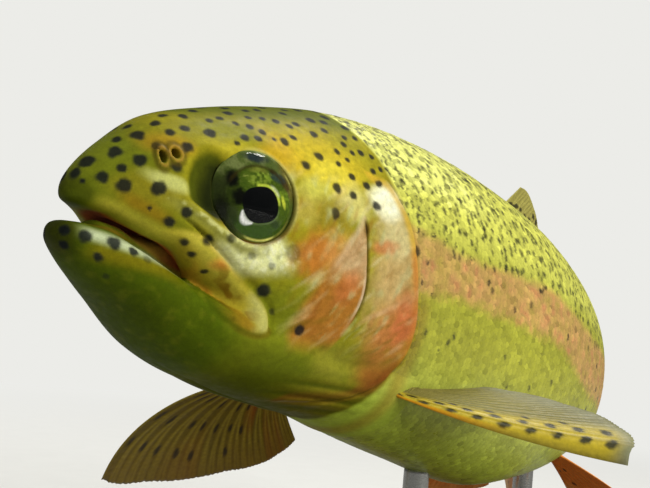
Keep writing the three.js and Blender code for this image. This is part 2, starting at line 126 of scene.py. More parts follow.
class Loft:
    """A tube through stations: its section at any s is a squared ellipse, flatter or rounder."""

    def __init__(self, stations, roundness):
        table = np.array(stations, float)
        self.start, self.end = table[0, 0], table[-1, 0]
        self.round = roundness
        fine = self.start + np.linspace(0, math.sqrt(self.end - self.start + 8), 1500) ** 2
        root = np.sqrt(table[:, 0] - self.start)
        self.fine = fine
        self.rows = [monotone(root, table[:, c])(np.minimum(np.sqrt(fine - self.start), root[-1]))
                     for c in range(1, 5)]
        self.slopes = [np.gradient(row, fine) for row in self.rows]

    def at(self, s):
        """Back, belly, half width and level at s."""
        return [np.interp(s, self.fine, row) for row in self.rows]

    def point(self, s, angle, grow=0.0):
        """A point of the section in fish coordinates: angle 0 is the back, pi/2 the right side."""
        back, belly, width, level = self.at(s)
        up = np.cos(angle) >= 0
        power = 2 / np.where(up, *self.round)
        height = np.where(up, back - level, level - belly) + grow
        y = (width + grow) * np.sign(np.sin(angle)) * np.abs(np.sin(angle)) ** power
        z = level + height * np.sign(np.cos(angle)) * np.abs(np.cos(angle)) ** power
        return np.stack([np.broadcast_to(s, y.shape), y, z], -1)

    def side(self, s, z):
        """Half width at a height."""
        back, belly, width, level = self.at(s)
        share = abs(z - level) / (back - level if z > level else level - belly)
        power = self.round[0 if z > level else 1]
        return float(width * max(1 - share ** power, 0) ** (1 / power))

    def distance(self, s, l, z):
        """Roughly how far outside the tube a point is, negative inside."""
        back, belly, width, level = self.at(s)
        rise = z - level
        up = rise >= 0
        height = np.maximum(np.where(up, back - level, level - belly), 0.02)
        width = np.maximum(width, 0.02)
        power = np.where(up, *self.round)
        reach = np.sqrt(l * l + rise * rise) + 1e-6
        gauge = ((l / width) ** power + (np.abs(rise) / height) ** power) ** (1 / power) + 1e-9
        wide = np.interp(s, self.fine, self.slopes[2]) * l / reach
        tall = np.where(up, np.interp(s, self.fine, self.slopes[0]), np.interp(s, self.fine, self.slopes[1]))
        steep = np.clip(np.hypot(wide, tall * rise / reach), 0, 3)
        off = (reach - reach / gauge) / np.sqrt(1 + steep * steep)
        ahead = np.maximum(self.start - s, 0)
        return np.where(ahead > 0, np.hypot(np.maximum(off, 0), ahead), off)


body = Loft(BODY, BODY_ROUND)
jaw = Loft(JAW, JAW_ROUND)


class Line:
    """A drawn line on the side of the fish, through a few (s, z) points, rounded between them."""

    def __init__(self, points, closed=False, count=60):
        p = np.array(points, float)
        if closed:
            p = np.vstack([p[-1], p, p[0], p[1]])
        else:
            p = np.vstack([2 * p[0] - p[1], p, 2 * p[-1] - p[-2]])
        out = []
        for k in range(1, len(p) - 2):
            t = np.linspace(0, 1, count // (len(p) - 3) + 2)[:-1, None]
            a, b, c, d = p[k - 1:k + 3]
            out.append(0.5 * (2 * b + (c - a) * t + (2 * a - 5 * b + 4 * c - d) * t ** 2
                              + (3 * b - a - 3 * c + d) * t ** 3))
        if not closed:
            out.append(p[-2:-1])
        self.points = np.vstack(out)
        self.closed = closed

    def measure(self, s, z, reach=7.0):
        """Distance to the line, place along it from 0 to 1, and the side (left is +).
        Points further than reach from the line's box are only said to be that far."""
        pts = np.vstack([self.points, self.points[:1]]) if self.closed else self.points
        low, high = pts.min(0) - reach, pts.max(0) + reach
        near = np.flatnonzero((s > low[0]) & (s < high[0]) & (z > low[1]) & (z < high[1]))
        at_s, at_z = s[near], z[near]
        best = np.full(len(near), 1e9)
        along = np.zeros(len(near))
        side = np.zeros(len(near))
        for k in range(len(pts) - 1):
            a, d = pts[k], pts[k + 1] - pts[k]
            t = np.clip(((at_s - a[0]) * d[0] + (at_z - a[1]) * d[1]) / (d @ d), 0, 1)
            gap_s, gap_z = at_s - a[0] - t * d[0], at_z - a[1] - t * d[1]
            gap = gap_s * gap_s + gap_z * gap_z
            closer = gap < best
            best[closer] = gap[closer]
            along[closer] = (k + t[closer]) / (len(pts) - 1)
            side[closer] = (d[0] * gap_z - d[1] * gap_s)[closer]
        result = [np.full(s.shape, reach), np.zeros(s.shape), np.ones(s.shape)]
        result[0][near] = np.sqrt(best)
        result[1][near] = along
        result[2][near] = np.sign(side)
        return result

    def inside(self, s, z):
        """Signed distance to a closed line: positive inside."""
        gap, _, _ = self.measure(s, z)
        pts = self.points
        within = np.zeros(s.shape, bool)
        for k in range(len(pts)):
            a, b = pts[k - 1], pts[k]
            crosses = (a[1] > z) != (b[1] > z)
            if abs(b[1] - a[1]) > 1e-9:
                within ^= crosses & (s < a[0] + (z - a[1]) * (b[0] - a[0]) / (b[1] - a[1]))
        return np.where(within, gap, -gap)


# ------------------------------------------------------------------ the turned backbone
SPINE_S = np.linspace(0, BODY_END + 80, 1505)
HEADING = np.radians(TURN["angle"]) * smooth(SPINE_S, TURN["from"], TURN["to"])
SLOPE = (-np.radians(DIP["angle"]) * smooth(SPINE_S, DIP["from"], DIP["to"])
         * (1 - smooth(SPINE_S, DIP["level_from"], DIP["level_to"])))
ALONG = np.stack([np.cos(SLOPE) * np.cos(HEADING), np.cos(SLOPE) * np.sin(HEADING), np.sin(SLOPE)], 1)
SPINE = np.vstack([np.zeros(3), np.cumsum((ALONG[1:] + ALONG[:-1]) / 2, 0) * (SPINE_S[1] - SPINE_S[0])])

low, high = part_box("stand_base")
OFFSET = np.array([(low[0] + high[0]) / 2 / MM - STAND_CENTRE[0],
                   (low[1] + high[1]) / 2 / MM - STAND_CENTRE[1], AXIS_HEIGHT])


def bend(points):
    """Fish coordinates to fish space: the straight fish laid along its turned backbone, mm."""
    s = points[:, 0]
    centre = np.stack([np.interp(s, SPINE_S, SPINE[:, k]) for k in range(3)], 1)
    centre[:, 0] = np.where(s < 0, s, centre[:, 0])
    heading, slope = np.interp(s, SPINE_S, HEADING), np.interp(s, SPINE_S, SLOPE)
    along = np.stack([np.cos(slope) * np.cos(heading), np.cos(slope) * np.sin(heading), np.sin(slope)], 1)
    across = np.stack([-np.sin(heading), np.cos(heading), 0 * s], 1)
    return centre + points[:, 1:2] * across + points[:, 2:3] * np.cross(along, across)


def to_row(points):
    """Fish space in mm to the row frame in metres."""
    return (points + OFFSET) * MM


# ------------------------------------------------------------------ lines of the head
# Some points of the lips, PREOPERCLE, CHEEK_EDGE, SUBOPERCLE, SUPRAMAXILLA and STRIPE_LOW were carried from
# the photo onto the fish by a scratch program; report.md says how many.
UPPER_LIP = monotone([-3, 0.5, 3.8, 6.5, 10, 14, 17.1, 19, 21],
                     [-1.0, -1.2, -1.7, -2.9, -4.5, -6.0, -7.9, -11, -40])
LOWER_LIP = monotone([-3, -2.3, 1.9, 6, 10.3, 13.8, 17.8, 20],
                     [-4.5, -4.2, -4.8, -5.6, -6.5, -7.5, -9.2, -10.6])
TONGUE = monotone([0, 4.4, 7.6, 11.2, 15.6, 18, 21.8, 25], [-5.4, -2.8, -3.0, -4.0, -4.0, -4.2, -6.2, -9])
MAXILLA = Line([(11, -3.6), (15, -3.2), (19, -5), (24, -8.2), (28, -11), (31.2, -13.6), (32.4, -15.8),
                (31.4, -17.4), (28.6, -17.9), (25, -16.9), (21.2, -14.6), (18.4, -11.6), (16.4, -8.2),
                (14, -5.8)], closed=True, count=72)
SUPRAMAXILLA = Line([(12.2, -0.6), (15, -2.0), (18.5, -4.2), (22.5, -6.9), (25.5, -9.3)])
PREOPERCLE = Line([(49.8, 10.5), (50.2, 4.5), (50.9, -2.8), (51.4, -8), (50.4, -13.2), (47.6, -19),
                   (42, -24.4), (36, -27)])
CHEEK_EDGE = Line([(50, 5.2), (46.4, 0.2), (42.1, -6), (37.6, -12.2), (32.3, -19)])
SUBOPERCLE = Line([(64.6, -6.7), (60.5, -9.7), (56.5, -11.6), (53.2, -13.2), (50, -16)])
GILL_EDGE = Line([(53.5, 14.6), (57.4, 13.9), (60.2, 10.8), (63, 6.6), (64.6, 1.5), (66.4, -6), (67.8, -13),
                  (67.5, -19), (63.4, -24.4), (56, -28.2), (44, -29.6)])
EYE = {"s": 26.0, "side": 14.0, "z": 4.5, "rim": 7.7, "bulge": 2.6, "depth": 5.0, "forward": 17.0, "up": 4.0}
EYE_LOOK = np.array([-math.sin(math.radians(EYE["forward"])) * math.cos(math.radians(EYE["up"])),
                     math.cos(math.radians(EYE["forward"])) * math.cos(math.radians(EYE["up"])),
                     math.sin(math.radians(EYE["up"]))])
EYE_UP = np.cross(np.cross(EYE_LOOK, (0, 0, 1)), EYE_LOOK)
EYE_UP = EYE_UP / np.linalg.norm(EYE_UP)
EYE_BACK = np.cross(EYE_LOOK, EYE_UP)          # toward the tail, in the rim's plane


def eye_frame(s, l, z):
    """Coordinates about the eye: toward the tail, up, and outward along the eye's axis."""
    d = np.stack([s - EYE["s"], l - EYE["side"], z - EYE["z"]], -1)
    return d @ EYE_BACK, d @ EYE_UP, d @ EYE_LOOK


NOSTRILS = [  # s, side, z, radius along, radius up, rim height
    (9.9, 8.6, 8.2, 0.5, 1.05, 0.32),
    (11.9, 9.6, 9.1, 0.62, 0.84, 0.2),
]
NOSTRIL_DEPTH = 2.4


def from_nostril(nostril, s, l, z):
    """Distance from a nostril's middle, 1 at its edge."""
    at_s, at_l, at_z, long, tall, _ = nostril
    return np.sqrt(((s - at_s) / long) ** 2 + ((z - at_z) / tall) ** 2 + ((l - at_l) / NOSTRIL_DEPTH) ** 2)


def cheek_slit(z):
    """How open the slit behind the cheek is at a height, 0 to 1."""
    return smooth(z, -17, -9) * (1 - smooth(z, 3, 5))


def throat_folds(s, l, z):
    """Height over the middle of the folds under the gill cover, and how strongly they show, 0 to 1."""
    fold = z - (-24.4 - 0.045 * (s - 38))
    return fold, bump(fold, -3.4, 5.2) * bump(s, 52, 17) * smooth(l, 3, 7)


FOLD_STEP = 2.3                   # from fold to fold


def eye_pocket(s, l, z):
    """The hollow in front of the eye, 0 to 1, and the height over the bone that closes it below."""
    back, up, _ = eye_frame(s, l, z)
    over = up - np.interp(back, [-15, -13.3, -10, -6.5, -2.7, 1.1, 5],
                          [-2, -2.9, -4.2, -6.1, -7.6, -8.1, -7.6])
    oval = np.hypot((back + 8.3) / 4.9, (up - 0.4) / 6.4)
    return (1 - smooth(oval, 0.5, 1.12)) * smooth(over, -0.1, 1.3), over


def head_relief(s, l, z):
    """Height of the head's plates, folds and creases over the plain form, mm."""
    side = smooth(l, 2.5, 6)
    cheek = smooth(l, 8, 12)
    # maxilla, with the groove over it
    plate = MAXILLA.inside(s, z)
    lip = z - UPPER_LIP(np.minimum(s, 18))
    rise = 0.5 * smooth(plate, -0.5, 1.4) * side * np.where(s < 15, smooth(lip, -1, 1), 1) * smooth(s, 8, 14)
    rise -= 0.22 * bump(plate, -0.7, 0.8) * side * smooth(s, 15, 19)
    gap, along, _ = SUPRAMAXILLA.measure(s, z)
    rise -= 0.6 * bump(gap, 0, 0.5) * bump(along, 0.45, 0.58) * side
    # cheek and gill-cover plates; each front plate lies over the one behind it
    gap, along, edge = PREOPERCLE.measure(s, z)
    behind = edge * gap
    slit = cheek_slit(z)
    rise += 0.32 * (1 - smooth(behind, -0.2, 0.3)) * bump(gap, 0, 4.5) * cheek * slit
    rise -= 0.45 * bump(behind, 0.2, 0.6) * slit * cheek
    gap, along, _ = SUBOPERCLE.measure(s, z)
    rise += 0.16 * bump(gap, 0, 1.2) * cheek
    gap, along, _ = CHEEK_EDGE.measure(s, z)
    rise += 0.12 * bump(gap, 0, 1.0) * (1 - smooth(along, 0.35, 0.65)) * cheek
    gap, along, edge = GILL_EDGE.measure(s, z)
    out = edge * gap                       # positive behind the cover
    rise += 0.34 * (1 - smooth(out, -0.2, 0.5)) * smooth(out, -5, -0.5) * smooth(l, 4, 9) * smooth(along,
                                                                                                   0.02, 0.14)
    rise -= 0.2 * bump(out, 0.45, 0.7) * smooth(l, 4, 9) * smooth(along, 0.05, 0.16)
    # branchiostegal folds under the cover, and the groove between the two sides of the throat
    fold, shown = throat_folds(s, l, z)
    rise += 0.2 * np.cos(fold * 2 * np.pi / FOLD_STEP) * shown
    rise -= 0.6 * bump(l, 0, 1.6) * bump(s, 42, 26) * smooth(-z, 20, 24)
    # crease that runs back from the mouth corner along the jaw
    crease = z - (-11.5 - 0.62 * (s - 16))
    rise -= 0.12 * bump(crease, -4.6, 1.6) * bump(s, 24, 12) * smooth(l, 6, 9)
    # round the eye: the hollow, the bone under it, a soft brow and a thin lid
    back, up, _ = eye_frame(s, l, z)
    ring = np.hypot(back, up)
    pocket, over = eye_pocket(s, l, z)
    near = smooth(l, 6, 9)
    rise -= 1.7 * pocket * near
    rise += 0.4 * bump(over, -0.75, 1.2) * smooth(back, -15, -11) * (1 - smooth(back, 1, 7)) * near
    rise += 0.3 * bump(ring, EYE["rim"] + 2.4, 3) * smooth(up, 0, 5) * near
    return rise + 0.22 * bump(ring, EYE["rim"] + 0.45, 0.75) * near * smooth(back, -4, 1)


def mouth_parts(s, l, z):
    """The upper head and the lower jaw with the mouth between them, as one distance."""
    upper = body.distance(s, l, z) + HEAD_INSET
    lower = jaw.distance(s, l, z) + HEAD_INSET
    front = smooth(-s, -21, -17)
    upper = soft_max(upper, (UPPER_LIP(np.clip(s, -3, 20.9)) - z) * 0.9, 1.2)
    roof = ((s - 14.5) / 11.5) ** 2 + (l / np.maximum(0.6 * np.interp(s, body.fine, body.rows[2]), 1.5)) ** 2
    roof = (np.sqrt(roof + ((z + 5.2 + 0.35 * (s - 6)) / 4.6) ** 2) - 1) * 3.2
    upper = soft_max(upper, -roof, 0.8)
    floor = ((s - 14.5) / 12) ** 2 + (l / np.maximum(0.64 * np.interp(s, jaw.fine, jaw.rows[2]), 1.2)) ** 2
    floor = (np.sqrt(floor + ((z + 5.8 + 0.42 * (s - 6)) / 3.6) ** 2) - 1) * 2.6
    lower = soft_max(lower, -floor, 0.8)
    tongue = soft_max(z - TONGUE(np.clip(s, 0, 25)) + 0.09 * l * l, l - 4.4, 1.2)
    tongue = np.maximum(soft_max(tongue, np.abs(s - 13) - 9.6, 1.2), -(z + 9.4 + 0.42 * (s - 10)))
    lower = soft_min(lower, tongue, 0.6)
    joined = soft_min(upper, lower, 2.2 + 5 * smooth(s, 20, 32))
    apart = np.minimum(upper, lower)
    return apart * front + joined * (1 - front)


def skin_distance(s, l, z):
    """The whole skin as a distance function of s, |y| and z."""
    on_head = s < 78
    d = np.empty_like(s)
    trunk = ~on_head
    d[trunk] = np.maximum(body.distance(s[trunk], l[trunk], z[trunk]) + COAT, s[trunk] - BODY_END - 0.5)
    hs, hl, hz = s[on_head], l[on_head], z[on_head]
    head = mouth_parts(hs, hl, hz)
    near = np.abs(head) < 4
    ns, nl, nz = hs[near], hl[near], hz[near]
    fine = head[near] - head_relief(ns, nl, nz)
    # the socket and the nostrils
    back, up, out = eye_frame(ns, nl, nz)
    ring = np.hypot(back, up)
    socket = (np.hypot(ring / (EYE["rim"] + 0.15), out / (EYE["depth"] + 0.4)) - 1) * EYE["depth"]
    well = np.maximum(ring - EYE["rim"] - 0.05 - 0.3 * np.maximum(out, 0), -out - 0.5)
    fine = soft_max(fine, -np.minimum(socket, well), 0.3)
    for nostril in NOSTRILS:
        r = from_nostril(nostril, ns, nl, nz)
        fine = fine - nostril[5] * bump(r, 1.45, 0.75)
        fine = soft_max(fine, (1 - r) * min(nostril[3:5]), 0.2)
    head[near] = fine
    scaled = smooth(hs - scale_edge(hz), 0.3, 1.2) * smooth(hz, -26, -20)
    gone = np.maximum(smooth(hs, 70, 78), scaled)
    d[on_head] = head * (1 - gone) + (body.distance(hs, hl, hz) + COAT) * gone
    return d


# ------------------------------------------------------------------ surface of a distance function
def grid_lines(finest, coarsest):
    """Grid spacing: fine over the head, growing smoothly along the trunk."""
    s = [-3.6]
    while s[-1] < BODY_END + 2:
        s.append(s[-1] + finest + (coarsest - finest) * float(smooth(s[-1], 72, 96)))
    y = np.arange(0, 27.5, finest)
    return np.array(s), np.concatenate([-y[:0:-1], y]), np.arange(-39, 34, finest), y


def nets(field, axes):
    """Naive surface nets: vertices (grid positions) and quads of the zero level of field."""
    inside = field < 0
    count = np.zeros(tuple(n - 1 for n in field.shape), np.int8)
    corners = [(i, j, k) for i in (0, 1) for j in (0, 1) for k in (0, 1)]
    shape = count.shape
    for i, j, k in corners:
        count += inside[i:i + shape[0], j:j + shape[1], k:k + shape[2]]
    cells = np.flatnonzero((count > 0) & (count < 8))
    ci, cj, ck = np.unravel_index(cells, shape)
    value = np.stack([field[ci + i, cj + j, ck + k] for i, j, k in corners], 1)
    total = np.zeros((len(cells), 3))
    hits = np.zeros(len(cells))
    for a in range(8):
        for axis, bit in ((0, 4), (1, 2), (2, 1)):
            if a & bit:
                continue
            b = a | bit
            va, vb = value[:, a], value[:, b]
            cross = (va < 0) != (vb < 0)
            t = np.where(cross, va / np.where(cross, va - vb, 1), 0)
            p = np.tile(np.array(corners[a], float), (len(cells), 1))
            p[:, axis] += t
            total += p * cross[:, None]
            hits += cross
    place = total / hits[:, None] + np.stack([ci, cj, ck], 1)
    points = np.stack([np.interp(place[:, k], np.arange(len(axes[k])), axes[k]) for k in range(3)], 1)
    lookup = np.full(count.size, -1, np.int32)
    lookup[cells] = np.arange(len(cells))
    lookup = lookup.reshape(shape)
    quads = []
    for axis in range(3):
        o1, o2 = [(1, 2), (2, 0), (0, 1)][axis]
        lower = [slice(1, -1)] * 3
        upper = [slice(1, -1)] * 3
        lower[axis], upper[axis] = slice(0, -1), slice(1, None)
        a, b = inside[tuple(lower)], inside[tuple(upper)]
        change = np.argwhere(a != b)
        if not len(change):
            continue
        flips = a[tuple(change.T)]
        base = change + 1
        base[:, axis] -= 1

        def cell(d1, d2):
            at = base.copy()
            at[:, o1] -= d1
            at[:, o2] -= d2
            return lookup[tuple(at.T)]
        quad = np.stack([cell(1, 1), cell(0, 1), cell(0, 0), cell(1, 0)], 1)
        quad[~flips] = quad[~flips][:, ::-1]
        quads.append(quad)
    return points, np.vstack(quads)


def gradient(points, step=0.06):
    """Value and gradient of the skin's distance at points of the full fish."""
    def value(p):
        return skin_distance(p[:, 0].copy(), np.abs(p[:, 1]), p[:, 2].copy())
    base = value(points)
    slope = np.stack([(value(points + step * np.eye(3)[k]) - base) / step for k in range(3)], 1)
    return base, slope


def relax(points, quads, rounds):
    """Evens the net and puts every vertex back on the surface."""
    pairs = np.vstack([quads[:, [0, 1]], quads[:, [1, 2]], quads[:, [2, 3]], quads[:, [3, 0]]])
    n = len(points)
    degree = np.bincount(pairs[:, 0], minlength=n) + np.bincount(pairs[:, 1], minlength=n)
    for _ in range(rounds):
        mean = np.stack([np.bincount(pairs[:, 0], points[pairs[:, 1], k], n)
                         + np.bincount(pairs[:, 1], points[pairs[:, 0], k], n) for k in range(3)], 1)
        points = points + 0.6 * (mean / degree[:, None] - points)
        base, slope = gradient(points)
        push = base / np.maximum((slope ** 2).sum(1), 0.25)
        points = points - np.clip(push, -0.4, 0.4)[:, None] * slope
    return points


# ------------------------------------------------------------------ colour
def srgb(red, green, blue):
    """A colour written in 0-255 screen numbers, as linear light."""
    c = np.array([red, green, blue]) / 255
    return np.where(c <= 0.04045, c / 12.92, ((c + 0.055) / 1.055) ** 2.4)


def lay(base, colour, amount):
    """Lays a colour over base, amount 0 to 1 at each point."""
    amount = np.clip(amount, 0, 1)[:, None]
    return base * (1 - amount) + np.asarray(colour) * amount


def noise(points, size, seed=0):
    """Smooth random values from -1 to 1, with features about size across."""
    p = np.asarray(points) / size + 41.3 * (seed + 1)
    cell = np.floor(p).astype(np.int64)
    f = p - cell
    f = f * f * (3 - 2 * f)
    total = np.zeros(len(p))
    for i in (0, 1):
        for j in (0, 1):
            for k in (0, 1):
                h = (cell[:, 0] + i) * 374761393 + (cell[:, 1] + j) * 668265263 + (cell[:, 2]
                                                                                   + k) * 1274126177
                h = (h ^ (h >> 13)) * 1103515245 & 0x7FFFFFFF
                h = (h ^ (h >> 15)) & 0xFFFF
                weight = (np.abs(1 - i - f[:, 0]) * np.abs(1 - j - f[:, 1]) * np.abs(1 - k - f[:, 2]))
                total += weight * (h / 32767.5 - 1)
    return total


OLIVE = srgb(150, 142, 30)
SLATE = srgb(25, 29, 32)
SALMON = srgb(212, 158, 104)
BACK = srgb(214, 214, 92)
FLANK = srgb(176, 176, 60)
# the belly's own pale tone, tinted green as painted reflected light
BELLY = srgb(168, 186, 62)

# Spots of the head's sides: s, z, radius, and for some how dark and how tall they are. Most of the places
# were read off the photo and carried onto the fish by a scratch program, which the work order doesn't
# allow for tables; report.md says so. The radii are given one by one.
HEAD_SPOTS = [
    (4.1, 8, 1.15), (7.7, 11.5, 1.1), (0.8, 5.9, 1.2), (-0.8, 3.7, 0.9), (-0.2, 2.5, 0.45), (2, 3.5, 0.95),
    (4.4, 5.3, 0.7), (4.7, 2.5, 1.1), (6.8, 7.1, 1.0), (12, 12.8, 0.8), (14.7, 14.1, 0.8), (10.8, 14.2, 0.8),
    (7.9, 13.2, 0.8), (5.3, 10.4, 0.8), (13.1, 16.2, 0.8), (16.1, 16.7, 0.8), (19.3, 18.6, 0.8),
    (18.7, 14.1, 1.0),
    (20, 16.8, 0.7), (22.4, 17.8, 0.7), (13.9, 10.6, 1.0), (11.6, 6.8, 0.9), (9.2, 9.8, 0.7), (9.1, 2.9, 1.1),
    (24.8, 14.6, 0.8), (27.6, 15, 0.7), (22.9, 13.1, 0.5), (24.8, 17.4, 0.6), (27.3, 17.4, 0.7),
    (29.4, 16.8, 0.7),
    (28.5, 19.5, 0.6), (31.5, 20, 0.6), (34.2, 20.1, 0.7), (31.2, 15.9, 0.5), (33.5, 16, 0.8),
    (35.9, 17.4, 0.7),
    (36.7, 19.8, 0.7), (38.6, 20.7, 0.7), (41.6, 19.4, 0.8), (45, 21.1, 0.8), (40.5, 14.8, 0.9),
    (36.7, 12.3, 0.9),
    (49.6, 20.8, 0.7), (48.3, 19.1, 0.7), (52.7, 21.6, 0.6), (45.6, 17, 0.7), (47.8, 15.9, 0.6),
    (52.3, 18.5, 0.7),
    (55.2, 18.4, 0.6), (45, 14.5, 0.6), (49.8, 17.8, 0.6), (54.1, 15.3, 0.7), (47.8, 12.7, 0.7),
    (56.5, 16.2, 0.6),
    (58.5, 16.8, 0.6), (62.3, 15.5, 0.6), (8.3, -0.4, 0.4), (11.1, -2.1, 0.9), (13.3, -0.3, 0.8),
    (14.4, -4.7, 0.7),
    (16.4, -6.3, 0.7), (17.7, -4.1, 0.9), (20.2, -8.6, 0.7), (21.2, -3.1, 0.7, 0.8, 1.0),
    (25.6, -5.5, 0.6, 0.6, 1.0),
    (29.6, -6.6, 0.6, 0.6, 1.1), (29.7, -10.8, 1.2), (32.6, -14.2, 0.5, 0.7, 1.6),
    (22.8, -16.4, 0.5, 0.6, 0.7), (33.3, -3.8, 1.3, 0.45, 1.0), (43.3, 9.5, 0.8, 1.0, 1.2),
    (47.4, 8.9, 0.8), (53.5, 8.2, 0.9), (51.4, 11.8, 0.8), (54.9, 12.9, 0.8), (42.5, 4.7, 0.8, 0.9, 1.4),
    (39.1, -16.6, 0.9), (38.8, -20.9, 1.0), (38.7, -23.2, 0.9), (65.1, 1.9, 0.8, 0.9, 1.3), (-2.3, -5.5, 0.9),
    (0, -6.1, 0.95), (4.2, -6.4, 1.0), (7, -7.3, 0.75), (9.3, -8.3, 0.7, 0.5, 1.0), (13.1, -8.6, 0.7),
    (-1.7, -7.8, 0.8),
    (2.3, -9.0, 0.7), (4.4, -11.7, 0.5, 0.6, 1.0),
]


# Where the scales begin, as s at a few heights on the side
SCALE_EDGE_Z = [-38, -31.5, -26, -20, -13, -6, 1.5, 6.8, 10.8, 14.3, 18.7, 21, 24, 25.9, 29]
SCALE_EDGE_S = [61, 60, 63.4, 67.8, 68.2, 66.8, 65, 63.4, 60.8, 59, 57, 55.2, 52.2, 50.8, 48]

# The pink band: its upper and lower edge
STRIPE_S = [60, 79, 91, 107, 122, 139, 149, 200, 296]
STRIPE_TOP = [6.6, 5.0, 4.7, 6.8, 6.8, 4.6, 3.9, 3.4, 2.5]
STRIPE_LOW = [-6.8, -5.7, -5.5, -4.7, -5.5, -8.8, -11.5, -9, -5]
FLECK_STEP = (1.75, 2.3)          # between the small dark flecks of the back: at the nape, and behind


def scale_edge(z):
    """Where the scales begin at a height, as s."""
    return np.interp(z, SCALE_EDGE_Z, SCALE_EDGE_S)


def spot_list():
    """Every spot as rows of s, y, z, radius, stretch along the body, stretch up, darkness: the head's on both
    sides, the crown's, and small flecks in rows over the back."""
    rng = np.random.default_rng(12)
    spots = []
    for s, z, r, *more in HEAD_SPOTS:
        dark, tall = more or (1.0, 1.0)
        form = jaw if s < 18 and z < UPPER_LIP(s) - 1.2 else body
        for side in (-1, 1):
            at_s, at_z = (s, z) if side < 0 else (s + rng.normal(0, 0.5), z + rng.normal(0, 0.5))
            spots.append((at_s, side * form.side(at_s, at_z), at_z, 1.2 * r, 1.1, tall, dark))
    for _ in range(260):
        s = rng.uniform(17, 56)
        p = body.point(s, np.array(rng.uniform(-0.55, 0.55)))
        if all((p[0] - q[0]) ** 2 + (p[1] - q[1]) ** 2 + (p[2] - q[2]) ** 2 > 8.5 for q in spots):
            spots.append((p[0], p[1], p[2], rng.uniform(0.7, 1.0), 1.3, 1.0, 1.0))
    s = 52.0
    while s < BODY_END - 2:
        step = FLECK_STEP[0] + (FLECK_STEP[1] - FLECK_STEP[0]) * float(smooth(s, 62, 90))
        s += step
        back, _, _, level = body.at(s)
        angle = np.arange(-2, 2, step / float(back - level))
        count = len(angle)
        at = s + rng.normal(0, 0.28 * step, count)
        p = body.point(at, angle + rng.normal(0, 0.012 * step, count) + rng.uniform(0, 0.05 * step))
        under = np.interp(p[:, 0], STRIPE_S, STRIPE_TOP) + 2.5 - p[:, 2]
        keep = rng.uniform(size=count) > 0.1 + 0.85 * smooth(under, 0, 6)
        keep &= p[:, 0] > scale_edge(p[:, 2]) + 0.5
        size = rng.uniform(0.32, 0.46, count) * step
        rows = np.column_stack([p, size, rng.uniform(0.45, 0.75, count), np.ones(count),
                                rng.uniform(0.7, 1, count)])
        spots.extend(rows[keep])
    return np.array(spots)


SPOTS = spot_list()


def spotted(points):
    """How far each point lies in a dark spot, 0 to 1, with soft uneven rims."""
    amount = np.zeros(len(points))
    order = np.argsort(points[:, 0])
    sorted_s = points[order, 0]
    wobble = 0.22 * noise(points, 0.9, 3)
    for s, y, z, r, long, tall, dark in SPOTS:
        reach = r * long * 1.4
        a, b = np.searchsorted(sorted_s, [s - reach, s + reach])
        pick = order[a:b]
        q = points[pick]
        near = np.sqrt(((q[:, 0] - s) / long) ** 2 + (q[:, 1] - y) ** 2 + ((q[:, 2] - z) / tall) ** 2) / r
        amount[pick] = np.maximum(amount[pick], dark * (1 - smooth(near + wobble[pick], 0.62, 1.15)))
    return amount


def stripe(s, z):
    """The pink band along the side."""
    top, low = np.interp(s, STRIPE_S, STRIPE_TOP), np.interp(s, STRIPE_S, STRIPE_LOW)
    return smooth(z - low, -1.5, 2.5) * (1 - smooth(z - top, -2.2, 1.0))


def body_colour(points):
    """Colours of back, stripe, flank and belly, with painted light on the nape and painted green reflected
    light low down.
    """
    s, z = points[:, 0], points[:, 2]
    back, belly, _, level = body.at(s)
    high = np.clip((z - level) / np.maximum(back - level, 1), -0.2, 1)
    low = np.clip((level - z) / np.maximum(level - belly, 1), 0, 1)
    patch = noise(points, 7, 5)
    fine = noise(points, 2.2, 6)
    grain = noise(points, 0.9, 9)
    colour = np.tile(FLANK, (len(s), 1))
    colour = lay(colour, BACK, smooth(high + 0.05 * patch, 0.15, 0.4))
    colour = lay(colour, srgb(186, 186, 84), 0.8 * smooth(high + 0.06 * patch, 0.82, 1.0))
    colour = lay(colour, srgb(150, 150, 56), 0.7 * smooth(s, 150, 270) * smooth(high, 0.1, 0.5))
    # the lower side tinted green by painted green reflected light over its own paler tone
    colour = lay(colour, srgb(178, 184, 76), smooth(low, 0.3, 0.6))
    # painted light: the nape painted pale, as light falling on it
    nape = (1 - smooth(s, 76, 104)) * smooth(z + patch, 12, 18)
    colour = lay(colour, srgb(244, 246, 134), 0.7 * nape)
    # painted green reflected light on the belly
    colour = lay(colour, BELLY, smooth(low + 0.06 * patch, 0.6, 0.92))
    pink = stripe(s, z + 0.9 * patch + 0.6 * grain)
    colour = lay(colour, SALMON, pink * (0.72 + 0.2 * fine + 0.15 * grain))
    colour = lay(colour, srgb(200, 118, 80), 0.35 * pink * smooth(fine + 0.4 * grain, 0.25, 0.9))
    colour = lay(colour, srgb(150, 110, 50), 0.5 * bump(s, 69, 4) * smooth(-z, 4, 10))
    return colour * (1 + 0.09 * fine + 0.06 * patch)[:, None]


LOWER_JAW_TOP = 3.6                # how far below the snout's level the lower jaw begins


def fibres(s, z, turn, wide, long, seed):
    """Fine streaks on the side of the fish that run at an angle (degrees up from the tail's way)."""
    a = math.radians(turn)
    along, across = s * math.cos(a) + z * math.sin(a), z * math.cos(a) - s * math.sin(a)
    flat = np.stack([along / long, across / wide, 0 * s], 1)
    return noise(flat, 1, seed) + 0.5 * noise(flat * [1.6, 2.2, 1], 1, seed + 1)


